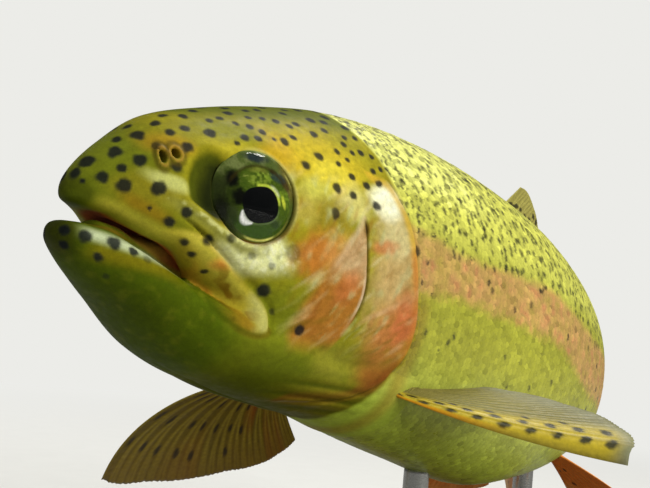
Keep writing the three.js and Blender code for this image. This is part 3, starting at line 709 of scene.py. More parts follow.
class HeadPaint:
    """The head's colour while it is built up, with what its regions share."""

    def __init__(self, points):
        self.points = points
        self.s, self.l, self.z = points[:, 0], np.abs(points[:, 1]), points[:, 2]
        self.patch, self.fine, self.grain = noise(points, 5, 7), noise(points, 1.4, 8), noise(points, 0.6, 10)
        self.cheek = smooth(self.l, 8, 12)
        self.colour = np.tile(OLIVE, (len(points), 1))

    def tint(self, tone, amount):
        self.colour = lay(self.colour, srgb(*tone), amount)

    def shade(self, factor):
        self.colour = self.colour * factor[:, None]

    def blot(self, tone, amount, at_s, at_z, half_s, half_z, lean=0.0):
        """A soft oval of colour on the side of the head; lean shifts it back as it rises."""
        ds = (self.s - at_s - lean * (self.z - at_z)) / half_s
        dz = (self.z - at_z) / half_z
        reach = np.sqrt(ds * ds + dz * dz) + 0.14 * self.patch + 0.1 * self.fine
        self.tint(tone, amount * (1 - smooth(reach, 0.35, 1.15)))


def paint_crown(head):
    """Snout, crown and the gold behind the eye; the snout darker toward its front, partly as painted shade.
    """
    s, z, patch = head.s, head.z, head.patch
    # darker olive toward the snout's front and lower side: partly its own tone, partly painted shade
    head.tint((118, 126, 32), 1 - smooth(s + 0.35 * z + patch, 8, 18))
    head.blot((150, 138, 36), 0.8, 8.5, 2.2, 7, 4)
    # painted shade: a dark patch on the very front of the snout
    head.blot((66, 74, 16), 0.8, -0.8, 0.5, 3, 4)
    head.tint((92, 102, 18), 0.88 * smooth(z - 0.16 * s + patch, 13.0, 16.2))
    head.blot((206, 182, 40), 0.9, 41, 13.5, 15, 6.5, 0.2)
    head.blot((196, 158, 30), 0.75, 31, 13, 6, 5)
    head.blot((226, 208, 62), 0.8, 43, 11.5, 6, 4)
    head.blot((186, 172, 44), 0.8, 22, 12.8, 6, 4)
    head.blot((190, 140, 30), 0.5, 11.5, 10.4, 5, 2.4)
    head.blot((122, 124, 22), 0.8, 23, 15.2, 9, 3, 0.4)
    head.blot((206, 202, 86), 0.75, 38, 7.8, 5.5, 3.2)


def paint_throat(head):
    """The dark throat: its own olive darkened by painted shade and tinted by painted green reflected light.
    """
    s, z, patch = head.s, head.z, head.patch
    # painted shade and painted green reflected light over the throat's own olive, lighter further back
    head.tint((84, 102, 18), smooth(-z - 0.42 * s + patch, -1.5, 6) * (1 - 0.8 * smooth(s, 20, 34)))
    head.tint((122, 132, 32), 0.85 * smooth(-z - 0.2 * s + patch, 6, 12) * smooth(s, 20, 34))
    # painted shade: darkest along the bottom of the throat
    head.tint((84, 86, 14), 0.8 * smooth(-z + patch, 22, 27) * smooth(s, 20, 34))
    head.tint((80, 90, 18), 0.6 * smooth(-z - 0.2 * s + patch, 9, 15) * smooth(s, 22, 32)
              * (1 - smooth(s, 46, 56)))


def paint_cheek(head):
    """The cheek: pale under the eye with painted sheen and painted glints, orange behind it, green below."""
    points, s, z, grain, cheek = head.points, head.s, head.z, head.grain, head.cheek
    # pale patch under the eye: its own pale tone, painted brighter as painted sheen
    head.blot((250, 252, 178), 0.97, 26.5, -4.6, 8.5, 4.6, -0.35)
    sheen_patch = (1 - smooth(np.hypot((s - 27 + 0.4 * (z + 4)) / 9, (z + 4.4) / 4.6), 0.4, 1)) * cheek
    # painted glints: bright flecks over the pale patch
    head.tint((250, 252, 200), sheen_patch
              * smooth(noise(points, 0.75, 12) + 0.5 * noise(points, 0.4, 13), -0.1, 0.7))
    head.tint((150, 150, 96), 0.6 * sheen_patch * smooth(noise(points, 1.1, 14) + 0.4 * grain, 0.15, 0.8))
    head.blot((150, 130, 46), 0.7, 41, 4, 6, 4)
    head.blot((186, 168, 76), 0.7, 35.5, 4, 4, 4)
    head.blot((190, 112, 52), 0.85, 38.5, -3, 6.5, 5.5, 0.3)
    head.blot((214, 150, 84), 0.6, 43.5, -2, 4.5, 4.5, 0.3)
    head.blot((122, 128, 30), 0.95, 33, -14, 8.5, 7.5, -0.2)
    head.blot((214, 204, 116), 0.8, 48, 7.6, 4.5, 4.6)


def paint_inner_plate(head):
    """The plate between cheek and gill cover."""
    s, z, patch, cheek = head.s, head.z, head.patch, head.cheek
    inner = (1 - smooth((s - np.interp(z, [-21, -13, -8, 5], [47, 50.6, 51.6, 50.3])), -0.2, 0.5))
    inner = inner * smooth(s - np.interp(z, [-20, -12, -8, -4, 0.2, 5.2], [36, 37.4, 39.6, 42.6, 46.2, 50]),
                           -1.2, 2) * cheek * (1 - smooth(z, 3.5, 5.5))
    head.tint((176, 108, 52), 0.85 * inner * smooth(z + patch, -22, -16))
    head.tint((190, 156, 112), 0.9 * inner * smooth(z + 1.5 * patch, -8, -3))
    head.blot((196, 112, 68), 0.6, 47, -8, 3.4, 4.2, 0.3)


def paint_gill_cover(head):
    """The gill cover: pale above with a painted highlight near the top, flesh pink, salmon below and behind.
    """
    head.blot((192, 162, 106), 0.95, 60, -4, 9.5, 17)
    head.blot((206, 196, 136), 0.7, 59, 3, 5.5, 5)
    # painted highlight: a near-white spot near the top of the cover
    head.blot((255, 255, 214), 1.0, 56.3, 9.6, 5.6, 4.2)
    head.blot((198, 118, 76), 0.7, 55.5, 0.6, 4.5, 2.2, 1.2)
    head.blot((190, 116, 68), 0.85, 61.5, -14, 8, 7.5, 0.1)
    head.blot((204, 108, 74), 0.6, 64, -12.5, 4, 6.5)
    head.blot((166, 104, 56), 0.75, 61, -21.5, 8, 5)
    head.blot((140, 136, 48), 0.85, 50, -21.5, 8.5, 4.4)
    head.blot((132, 72, 36), 0.6, 62, -24.2, 6, 3)
    head.blot((206, 150, 50), 0.6, 65, 1, 2.4, 8)


def paint_streaks(head):
    """Streaks of silver and rust over the plates."""
    s, l, z, fine, grain, cheek = head.s, head.l, head.z, head.fine, head.grain, head.cheek
    streak = fibres(s, z, 38, 1.15, 4.6, 40)
    rust = fibres(s, z, 62, 1.3, 4.2, 44)
    plates = smooth(s + 0.3 * z, 27, 36) * smooth(z, -22, -15) * (1 - smooth(z, 8, 13)) * cheek
    head.tint((232, 216, 160), 0.36 * plates * smooth(streak, 0.1, 1.0))
    head.tint((150, 78, 36), 0.34 * plates * smooth(rust, 0.2, 1.0))
    head.tint((188, 200, 144), 0.32 * plates * smooth(-rust + 0.4 * fine, 0.25, 1.0))
    green = smooth(s, 24, 30) * (1 - smooth(z, -12, -9)) * smooth(z, -27, -20) * cheek
    head.tint((84, 92, 18), 0.4 * green * smooth(fibres(s, z, 30, 1.1, 4, 48), 0.0, 0.9))
    mottle = noise(np.stack([s + 0.5 * z, z - 0.5 * s, l], 1) * [0.7, 1.5, 1], 0.9, 15)
    head.shade(1 + (0.13 * mottle + 0.08 * grain) * smooth(z, -24, -14) * cheek)


def paint_plate_edges(head):
    """Pale and dark lines along the edges of the plates; at the slit behind the cheek, a painted highlight
    and painted shadow.
    """
    s, l, z, fine, cheek = head.s, head.l, head.z, head.fine, head.cheek
    gap, along, _ = CHEEK_EDGE.measure(s, z)
    head.tint((208, 180, 136), (0.55 + 0.25 * fine) * bump(gap, -0.2, 1.2) * (1 - smooth(along, 0.3, 0.6))
              * cheek)
    gap, along, _ = SUBOPERCLE.measure(s, z)
    head.tint((216, 172, 124), (0.5 + 0.2 * fine) * bump(gap, 0.1, 0.75) * bump(along, 0.5, 0.6) * cheek)
    gap, along, edge = GILL_EDGE.measure(s, z)
    out = edge * gap
    band = bump(out, -0.9, 1.5) * smooth(l, 5, 9)
    shown = smooth(l, 5, 9) * smooth(along, 0.03, 0.16)
    head.tint((208, 168, 48), 0.7 * band * smooth(z, -2, 4))
    head.tint((200, 118, 58), 0.6 * band * (1 - smooth(z, -2, 4)) * smooth(z, -23, -17))
    head.tint((124, 66, 32), 0.7 * band * (1 - smooth(z, -23, -17)))
    head.tint((116, 84, 26), (0.4 + 0.3 * smooth(-z, 14, 22)) * bump(out, 0.5, 1.0) * shown)
    gap, along, edge = PREOPERCLE.measure(s, z)
    behind = edge * gap
    slit = cheek_slit(z)
    # painted highlight on the front plate's edge along the slit
    head.tint((226, 206, 170), 0.7 * bump(behind, -0.6, 0.6) * slit * (1 - smooth(z, -9, -3)) * cheek)
    # painted shadow in the slit, and a dark spot of painted shadow at its top
    head.tint((52, 28, 18), 0.85 * bump(behind, 0.2, 0.75) * slit * cheek)
    head.tint((44, 24, 16), 0.95 * bump(np.hypot((s - 50.3) / 1.3, (z - 3.4) / 2.4), 0, 1) * cheek)


def paint_folds(head):
    """The folds of the throat: lighter on the ridges, painted shade in the troughs."""
    s, l, z = head.s, head.l, head.z
    fold, shown = throat_folds(s, l, z)
    # painted shade in the troughs of the folds, lighter on the ridges
    crease = np.clip(-np.cos(fold * 2 * np.pi / FOLD_STEP), 0, 1) * shown
    head.tint((146, 128, 40), 0.5 * shown - 0.5 * crease)
    head.tint((78, 74, 18), 0.6 * crease)


def paint_hollow(head):
    """The hollow in front of the eye, darkened as painted shade, and the bone under it, with painted glints.
    """
    s, l, z, fine, grain, cheek = head.s, head.l, head.z, head.fine, head.grain, head.cheek
    pocket, over = eye_pocket(s, l, z)
    back, up, _ = eye_frame(s, l, z)
    # painted shade: dark green over the hollow, darkest at its middle
    head.tint((62, 72, 18), 0.9 * smooth(pocket + 0.1 * fine, 0.02, 0.7) * smooth(l, 6, 9))
    head.tint((26, 32, 12), 0.8 * bump(np.hypot((back + 8.6) / 3.2, (up + 2.2) / 4.2), 0, 1.1) * pocket)
    bone = bump(over, -1.3, 1.7) * smooth(back, -18, -13) * (1 - smooth(back, -1, 4)) * smooth(l, 6, 9)
    head.tint((156, 154, 70), 0.85 * bone)
    # painted glints along the top of the bone
    head.tint((232, 232, 150), 0.85 * bone * bump(over, -0.6, 0.9) * smooth(grain + 0.5 * fine, -0.3, 0.5))
    # painted highlight: a pale patch on the ridge in front of the hollow
    head.blot((216, 218, 124), 0.85, 10.6, 4.2, 3.6, 1.9, -0.9)
    gap, along, _ = SUPRAMAXILLA.measure(s, z)
    # painted shade: a dark line in the groove over the maxilla
    head.tint((30, 30, 10), 0.85 * bump(gap, 0, 0.42) * bump(along, 0.35, 0.42) * cheek)
    head.tint((128, 124, 44), 0.5 * bump(gap, 0.2, 1.2) * smooth(along, 0.45, 0.7) * cheek)


def paint_maxilla(head):
    """The maxilla and the upper lip, with painted highlights along the maxilla's upper edge and along the
    lip.
    """
    points, s, l, z = head.points, head.s, head.l, head.z
    patch, fine, cheek = head.patch, head.fine, head.cheek
    plate = MAXILLA.inside(s, z)
    on_plate = smooth(plate, -0.5, 0.5) * smooth(l, 4, 7)
    down = -(z + 7 + 0.66 * (s - 18))                  # across the plate: below its middle line
    head.tint((176, 158, 46), 0.92 * on_plate)
    head.tint((204, 192, 66), 0.8 * on_plate * bump(down, -1.2, 2.0))
    head.tint((168, 104, 34), 0.55 * on_plate * smooth(down + 0.6 * fine + patch, 0.6, 2.2)
              * smooth(s, 12, 17) * (1 - smooth(s, 27, 30)))
    head.tint((222, 128, 58), 0.7 * on_plate * bump(np.hypot((s - 21.6) / 3, (z + 7.4) / 1.6), 0, 1))
    head.tint((190, 186, 104), 0.85 * on_plate * smooth(s + 0.6 * patch + fine, 26.8, 29.6))
    head.tint((116, 74, 22), 0.75 * on_plate * smooth(fine + 0.7 * noise(points, 2.0, 18), 0.0, 0.7)
              * bump(s, 25.5, 7))
    edge = bump(plate, 0.1, 0.7) * cheek
    # painted highlight along the maxilla's upper edge
    head.tint((222, 196, 96), 0.5 * edge * (down < 0) * bump(s, 20.5, 7))
    head.tint((104, 60, 20), 0.45 * bump(plate, -0.6, 0.8) * (down > 0) * smooth(s, 14, 18) * cheek)
    lip = z - UPPER_LIP(np.clip(s, -3, 18))
    head.tint((158, 122, 28), 0.7 * bump(lip, 3.0, 2.0) * smooth(s, 3.5, 6.5) * (1 - smooth(s, 9.5, 13)))
    # painted highlight: a lighter band along the upper lip
    head.tint((184, 174, 54), 0.9 * bump(lip, 0.9, 1.7) * smooth(s, 0.8, 3.5) * (1 - smooth(s, 12, 15.5)))


def paint_lower_jaw(head):
    """The lower jaw: a pale lip with a painted highlight, then dark green, partly painted shade."""
    points, s, l, z, patch = head.points, head.s, head.l, head.z, head.patch
    lip = z - UPPER_LIP(np.clip(s, -3, 18))
    chin = (1 - smooth(s, 20, 30)) * smooth(-z, LOWER_JAW_TOP, LOWER_JAW_TOP + 0.5)
    under = chin * (jaw.distance(s, l, z) < 1.2) * (lip < -1.2)
    band = z - LOWER_LIP(np.clip(s, -3, 20))
    # dark green underside: its own olive darkened by painted shade and tinted by painted green reflected
    # light
    head.tint((78, 94, 12), 0.95 * under)
    head.tint((112, 118, 30), 0.5 * under
              * smooth(noise(points, 1.6, 16) + 0.6 * noise(points, 0.7, 17), 0.1, 1.0))
    head.tint((136, 122, 22), 0.7 * under * bump(band + 0.5 * patch, -3.0, 2.4) * smooth(s, -1, 3)
              * (1 - smooth(s, 12, 17)))
    # painted shade on the front tip of the jaw
    head.tint((60, 64, 14), 0.8 * under * (1 - smooth(s, -1.8, 0.6)))
    # pale band along the lip: its own pale tone with a painted highlight
    pale = bump(band, -1.0, 1.6) * smooth(s, -1.6, 1.4) * (1 - smooth(s, 16, 19))
    head.tint((204, 214, 166), 0.9 * under * pale)
    head.tint((116, 96, 32), 0.85 * under * smooth(band, 0.3, 0.9) * smooth(s, 0.5, 3))


def head_colour(points):
    """Colours of the head's regions, from the crown down to the throat."""
    head = HeadPaint(points)
    for paint in (paint_crown, paint_throat, paint_cheek, paint_inner_plate, paint_gill_cover,
                  paint_streaks, paint_plate_edges, paint_folds, paint_hollow,
                  paint_maxilla, paint_lower_jaw):
        paint(head)
    return head.colour * (1 + 0.05 * head.fine + 0.07 * head.patch)[:, None]


def markings(points, on_skin=False):
    """Linear colour at points given in fish coordinates, and where it is dull inside the mouth;
    the skin and the scales share it."""
    s, l, z = points[:, 0], np.abs(points[:, 1]), points[:, 2]
    colour = body_colour(points)
    behind = smooth(s - scale_edge(z) - 0.8, -1.6, 0.6)
    before = s < 76
    colour[before] = (head_colour(points[before]) * (1 - behind[before])[:, None]
                      + colour[before] * behind[before][:, None])
    light = colour @ [0.3, 0.6, 0.1]
    # the darker the paint, the less blue it holds
    colour[:, 2] *= 0.55 + 0.45 * smooth(light, 0.05, 0.5)
    colour = lay(colour, SLATE, 0.93 * spotted(points))
    wet = np.zeros(len(s))
    if on_skin:
        back, up, _ = eye_frame(s, l, z)
        ring = np.hypot(back, up)
        depth = -np.minimum(body.distance(s, l, z), jaw.distance(s, l, z))
        pocket, _ = eye_pocket(s, l, z)
        inside = smooth(depth - 2.2 * pocket, 0.7, 1.7) * (s < 33) * (ring > EYE["rim"] + 0.9) * smooth(-z,
                                                                                                        -2, 0)
        # inside the mouth: red-brown, darker with depth as painted shade
        red = lay(np.tile(srgb(176, 92, 44), (len(s), 1)), srgb(136, 62, 34), smooth(depth, 1.4, 4))
        on_tongue = 1 - smooth(z - TONGUE(np.clip(s, 0, 25)) + 0.09 * l * l, 0.15, 0.6)
        floor = lay(np.tile(srgb(176, 144, 52), (len(s), 1)), srgb(160, 84, 44), smooth(s, 13, 19))
        red = lay(red, floor, on_tongue * smooth(s, 2, 5))
        red = lay(red, srgb(104, 94, 26), 0.9 * (1 - smooth(s, 1, 4.5)))
        colour = colour * (1 - inside)[:, None] + red * inside[:, None]
        rim = bump(ring, EYE["rim"] + 0.35, 0.6) * (depth < 1.5)
        # painted highlight: a pale line on the eye rim's rear and upper side
        colour = lay(colour, srgb(206, 200, 110), 0.6 * rim * smooth(back + 0.6 * up, 0, 5))
        colour = lay(colour, srgb(120, 84, 24), 0.7 * rim * smooth(-up, 2, 6))
        colour = lay(colour, srgb(104, 104, 36), smooth(depth, 0.5, 1.2) * (ring < EYE["rim"] + 0.4))
        # painted shade: dark skin in front of the eye, joining the hollow
        colour = lay(colour, srgb(30, 36, 10), 0.9 * (1 - smooth(ring, EYE["rim"] + 0.5, EYE["rim"] + 3.6))
                     * (l > 4) * (1 - smooth(back + 0.25 * up, -4.4, -2.6)) * (1 - smooth(up, 3.5, 5.5))
                     * smooth(up, -6.5, -4.5))
        for nostril in NOSTRILS:
            r = from_nostril(nostril, s, l, z)
            colour = lay(colour, srgb(84, 70, 18), 0.7 * bump(r, 2.2, 0.9))
            colour = lay(colour, srgb(170, 132, 52), 0.85 * bump(r, 1.45, 0.42))
            # painted shade inside each nostril's hole
            colour = lay(colour, srgb(30, 24, 10), 1 - smooth(r, 0.8, 1.2))
        wet = inside
    return np.clip(colour, 0.002, 0.9), wet


# ------------------------------------------------------------------ making Blender objects
def new_object(name, points, faces, colours=None, smooth_shade=True, dull=None):
    """A mesh object from arrays, in metres; the attribute Paint holds its colours, and its alpha dullness."""
    mesh = bpy.data.meshes.new(name)
    faces = np.asarray(faces, np.int32)
    mesh.vertices.add(len(points))
    mesh.vertices.foreach_set("co", np.asarray(points, np.float32).ravel())
    mesh.loops.add(faces.size)
    mesh.loops.foreach_set("vertex_index", faces.ravel())
    mesh.polygons.add(len(faces))
    mesh.polygons.foreach_set("loop_start", np.arange(0, faces.size, faces.shape[1], dtype=np.int32))
    mesh.update(calc_edges=True)
    mesh.polygons.foreach_set("use_smooth", np.full(len(faces), smooth_shade))
    if colours is not None:
        rgba = np.ones((len(points), 4), np.float32)
        rgba[:, :3] = colours
        if dull is not None:
            rgba[:, 3] = 1 - dull
        mesh.color_attributes.new("Paint", "FLOAT_COLOR", "POINT").data.foreach_set("color", rgba.ravel())
    obj = bpy.data.objects.new(name, mesh)
    bpy.context.scene.collection.objects.link(obj)
    return obj


class Nodes:
    """A short way to write a node material."""

    def __init__(self, name):
        self.material = bpy.data.materials.new(name)
        self.material.use_nodes = True
        self.tree = self.material.node_tree
        self.shader = self.tree.nodes["Principled BSDF"]

    def add(self, kind, inputs=None, **settings):
        node = self.tree.nodes.new(kind)
        for key, value in settings.items():
            setattr(node, key, value)
        for key, value in (inputs or {}).items():
            if isinstance(value, bpy.types.NodeSocket):
                self.tree.links.new(value, node.inputs[key])
            else:
                node.inputs[key].default_value = value
        return node

    def link(self, output, name):
        self.tree.links.new(output, self.shader.inputs[name])

    def set(self, **values):
        for key, value in values.items():
            self.shader.inputs[key.replace("_", " ")].default_value = value

    def texture(self, scale, detail=3.0, roughness=0.55, stretch=(1, 1, 1)):
        where = self.add("ShaderNodeTexCoord").outputs["Object"]
        shaped = self.add("ShaderNodeMapping", {"Vector": where, "Scale": stretch}).outputs[0]
        return self.add("ShaderNodeTexNoise", {"Vector": shaped, "Scale": scale, "Detail": detail,
                                               "Roughness": roughness}).outputs["Fac"]

    def ramp(self, value, low, high, new_low, new_high):
        return self.add("ShaderNodeMapRange", {"Value": value, "From Min": low, "From Max": high,
                                               "To Min": new_low, "To Max": new_high}).outputs[0]

    def bump(self, height, distance, strength=1.0, under=None):
        inputs = {"Height": height, "Distance": distance, "Strength": strength}
        if under is not None:
            inputs["Normal"] = under
        return self.add("ShaderNodeBump", inputs).outputs[0]

    def tinted(self, colour, value, low, high):
        """The colour made darker or lighter by a value that runs from 0 to 1."""
        factor = self.ramp(value, 0.25, 0.75, low, high)
        return self.add("ShaderNodeVectorMath", {0: colour, 1: factor}, operation="MULTIPLY").outputs[0]


def skin_material():
    m = Nodes("trout_skin")
    paint = m.add("ShaderNodeAttribute", attribute_name="Paint")
    speckled = m.tinted(paint.outputs["Color"], m.texture(900, 3), 0.87, 1.13)
    m.link(m.tinted(speckled, m.texture(3500, 2), 0.9, 1.1), "Base Color")
    grain = m.ramp(m.texture(600), 0.3, 0.7, 0.4, 0.58)
    dull = m.ramp(paint.outputs["Alpha"], 0, 1, 0.3, 0)
    m.link(m.add("ShaderNodeMath", {0: grain, 1: dull}).outputs[0], "Roughness")
    m.link(m.bump(m.texture(2600, 3), 0.00004, 0.5, m.bump(m.texture(420), 0.0002, 0.3)), "Normal")
    m.set(Specular_IOR_Level=0.07)
    return m.material


def scale_material():
    m = Nodes("trout_scales")
    paint = m.add("ShaderNodeAttribute", attribute_name="Paint").outputs["Color"]
    m.link(m.tinted(paint, m.texture(2200, 2), 0.9, 1.12), "Base Color")
    m.link(m.ramp(m.texture(900), 0.3, 0.7, 0.26, 0.44), "Roughness")
    m.link(m.bump(m.texture(3000, 2), 0.00003, 0.4), "Normal")
    m.set(Metallic=0.1, Specular_IOR_Level=0.4)
    return m.material


# ------------------------------------------------------------------ the skin
def make_skin():
    s, y, z, half = grid_lines(0.37, 1.15)
    field = np.empty((len(s), len(half), len(z)), np.float32)
    for start in range(0, len(s), 24):
        block = np.meshgrid(s[start:start + 24], half, z, indexing="ij")
        flat = [b.ravel() for b in block]
        field[start:start + 24] = skin_distance(*flat).reshape(block[0].shape)
    whole = np.concatenate([field[:, :0:-1], field], 1)
    points, quads = nets(whole, (s, y, z))
    points = relax(points, quads, 3)
    colours, wet = markings(points, on_skin=True)
    skin = new_object("trout_skin", to_row(bend(points)), quads, colours, dull=wet)
    skin.data.materials.append(skin_material())
    return skin


# ------------------------------------------------------------------ scales
SCALE_ROWS = 128                  # round the body
SCALE_STEP = 1.36                 # along it, at the widest


SCALE_RIM = 12                    # points round the rim of one scale
BOW_ACROSS, BOW_ALONG = 22.0, 400.0   # radii of a scale's own curve, which follows the body's
PIECE_FACES = 190000              # most faces of scales in one object


def scale_columns():
    """Where the rings of scales stand along the body: closer together toward the tail."""
    columns = [48.0]
    while columns[-1] < BODY_END - 2:
        back, belly, _, _ = body.at(columns[-1])
        columns.append(columns[-1] + SCALE_STEP * (0.45 + 0.55 * (float(back - belly) / 68)))
    return columns


def scale_places(rng):
    """Every scale's s, angle, length, width and root point, in staggered rows."""
    columns = scale_columns()
    angles = np.linspace(-np.pi, np.pi, 721)
    s_list, a_list, w_list = [], [], []
    for index, s in enumerate(columns):
        ring = body.point(s, angles)
        run = np.concatenate([[0], np.cumsum(np.linalg.norm(np.diff(ring, axis=0), axis=1))])
        place = (np.arange(SCALE_ROWS) + 0.5 * (index % 2)) / SCALE_ROWS * run[-1]
        a = np.interp(place, run, angles)
        s_list.append(np.full(SCALE_ROWS, s) + rng.normal(0, 0.06, SCALE_ROWS))
        a_list.append(a)
        w_list.append(np.full(SCALE_ROWS, run[-1] / SCALE_ROWS))
    s, a, w = (np.concatenate(v) for v in (s_list, a_list, w_list))
    root = body.point(s, a)
    keep = s > scale_edge(root[:, 2]) + rng.uniform(-0.5, 0.5, len(s))
    keep &= s < BODY_END - 1.5
    s, a, w, root = s[keep], a[keep], w[keep], root[keep]
    length = np.interp(s, columns[:-1], np.diff(columns)) * 2.1
    grow = smooth(s - scale_edge(root[:, 2]), -0.5, 4) * 0.3 + 0.7
    return s, a, length * grow, w * 1.5 * grow, root


def scale_frame(s, a, root):
    """Each scale's directions on the straight fish: along to the tail, across, and out."""
    along = body.point(s + 0.5, a) - body.point(s - 0.5, a)
    around = body.point(s, a + 0.01) - body.point(s, a - 0.01)
    along /= np.linalg.norm(along, axis=1)[:, None]
    out = np.cross(along, around)
    out /= np.linalg.norm(out, axis=1)[:, None]
    out *= np.sign((out * (root - np.stack([s, 0 * s, body.at(s)[3]], 1))).sum(1))[:, None]
    return along, np.cross(out, along), out


def scale_shape():
    """One scale, root first: its points in shares of length and width, its faces, its height at each."""
    turn = np.linspace(0, 2 * np.pi, SCALE_RIM + 1)[:-1]
    rim = np.stack([-np.cos(turn) * 0.5, np.sin(turn) * 0.5 * (0.86 + 0.14 * np.cos(turn + np.pi))], 1)
    ring = rim[::2] * 0.55
    shape_xy = np.vstack([rim, ring, [[0.04, 0]], [[0, 0]]])
    top, under = len(rim) + len(ring), len(rim) + len(ring) + 1
    faces = []
    for k in range(len(ring)):
        a0, a1, a2 = 2 * k, 2 * k + 1, (2 * k + 2) % SCALE_RIM
        b0, b1 = SCALE_RIM + k, SCALE_RIM + (k + 1) % len(ring)
        faces += [(a0, a1, b0), (a1, b1, b0), (a1, a2, b1), (b0, b1, top)]
        faces += [(a1, a0, under), (a2, a1, under)]
    x = shape_xy[:, 0]
    lift = 0.02 + 0.05 * (x + 0.5)                     # the rear rim stands proud
    lift[SCALE_RIM:top] = 0.045 + 0.05 * (x[SCALE_RIM:top] + 0.5)
    lift[top] = 0.052 + 0.05 * (x[top] + 0.5)
    lift[under] = -0.09
    return shape_xy, np.array(faces)[:, ::-1], lift


def make_scales():
    """Overlapping plates, each a closed low dome; smaller toward the tail."""
    rng = np.random.default_rng(5)
    s, a, length, width, root = scale_places(rng)
    along, across, out = scale_frame(s, a, root)
    shape_xy, faces, lift = scale_shape()
    n, m = len(s), len(shape_xy)
    nape = (1 - smooth(s, 80, 120)) * smooth(root[:, 2], 8, 16)
    tilt_along = rng.normal(0, 0.014, n) + 0.025 * nape * rng.normal(size=n)
    tilt_across = rng.normal(0, 0.02, n) + 0.035 * nape * rng.normal(size=n)
    dx = shape_xy[None, :, 0] * length[:, None] + 0.12 * length[:, None]
    dy = shape_xy[None, :, 1] * width[:, None]
    bowed = -(dy ** 2) / (2 * BOW_ACROSS) - (dx ** 2) / (2 * BOW_ALONG)
    high = (lift * (0.9 + 0.15 * rng.uniform(size=(n, 1))) * length[:, None] / 2.6
            + tilt_along[:, None] * dx + tilt_across[:, None] * dy + bowed - COAT + 0.03)
    points = (root[:, None, :] + along[:, None, :] * dx[..., None] + across[:, None, :] * dy[..., None]
              + out[:, None, :] * high[..., None]).reshape(-1, 3)

    colours = markings(points)[0].reshape(n, m, 3)
    # a random tone per scale, with painted glitter near the nape; each scale darker at its root and rim and
    # lighter in its middle, as painted shade along the edges where scales overlap
    shade = 1 + ((0.11 + 0.12 * nape) * rng.normal(size=n))[:, None] * np.ones((1, m))
    shade *= np.interp(shape_xy[:, 0], [-0.5, -0.1, 0.2, 0.42, 0.5], [0.85, 0.94, 1.07, 1.0, 0.84])[None, :]
    colours = np.clip(colours * shade[..., None], 0.002, 0.95)
    placed = to_row(bend(points)).reshape(n, m, 3)

    material = scale_material()
    per_piece = PIECE_FACES // len(faces)
    order = np.argsort(s, kind="stable")
    for number, start in enumerate(range(0, n, per_piece)):
        pick = order[start:start + per_piece]
        all_faces = (faces[None] + m * np.arange(len(pick))[:, None, None]).reshape(-1, 3)
        piece = new_object(f"scales_{number}", placed[pick].reshape(-1, 3), all_faces,
                           colours[pick].reshape(-1, 3), smooth_shade=True)
        mesh = piece.data
        ends = np.empty(2 * len(mesh.edges), np.int32)
        mesh.edges.foreach_get("vertices", ends)
        # the top shades apart from the underside
        round_rim = (ends.reshape(-1, 2) % m < SCALE_RIM).all(axis=1)
        mesh.attributes.new("sharp_edge", "BOOLEAN", "EDGE").data.foreach_set("value", round_rim)
        piece.data.materials.append(material)
        bake = piece.data.uv_layers.new(name="OFBake")
        centre = np.stack([0.02 + 0.96 * s[pick] / 300, 0.02 + 0.96 * (a[pick] + np.pi) / (2 * np.pi)], 1)
        uv = centre[:, None, :] + 0.003 * shape_xy[None]
        bake.data.foreach_set("uv", uv.reshape(-1, 2)[all_faces.ravel()].astype(np.float32).ravel())
        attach(piece, "root")


# ------------------------------------------------------------------ eyes
# radius, and centre toward the tail and up from the rim's centre
PUPIL, PUPIL_CENTRE = 3.35, (0.95, -1.25)
IRIS, IRIS_CENTRE = 6.1, (0.6, -0.9)
PUPIL_TURN = math.radians(10)                  # the pupil is a little oval; its long way is turned by this


def eye_points(side, back, up, out):
    """From eye coordinates to fish coordinates, on the left (side -1) or right."""
    p = (np.array([EYE["s"], EYE["side"], EYE["z"]]) + np.asarray(back)[:, None] * EYE_BACK
         + np.asarray(up)[:, None] * EYE_UP + np.asarray(out)[:, None] * EYE_LOOK)
    p[:, 1] *= side
    return p


def rings_mesh(rings, count, flip):
    """Faces that join rings of count points, closed by a point before the first and one after the last."""
    faces = []
    k = np.arange(count)
    nxt = (k + 1) % count
    for r in range(rings - 1):
        base = r * count
        faces.append(np.stack([base + k, base + nxt, base + count + nxt, base + count + k], 1))
    quads = np.vstack(faces)
    first, last = rings * count, rings * count + 1
    caps = np.vstack([np.stack([nxt, k, np.full(count, first)], 1),
                      np.stack([(rings - 1) * count + k, (rings - 1) * count + nxt, np.full(count, last)],
                               1)])
    tris = np.vstack([quads[:, [0, 1, 2]], quads[:, [0, 2, 3]], caps])
    return tris[:, ::-1] if flip else tris


def pupil_oval(angle):
    """The pupil's radius at an angle, as a share of its mean radius."""
    return 1 + 0.05 * np.cos(2 * (angle - PUPIL_TURN)) + 0.03 * np.cos(4 * angle - 4.2)


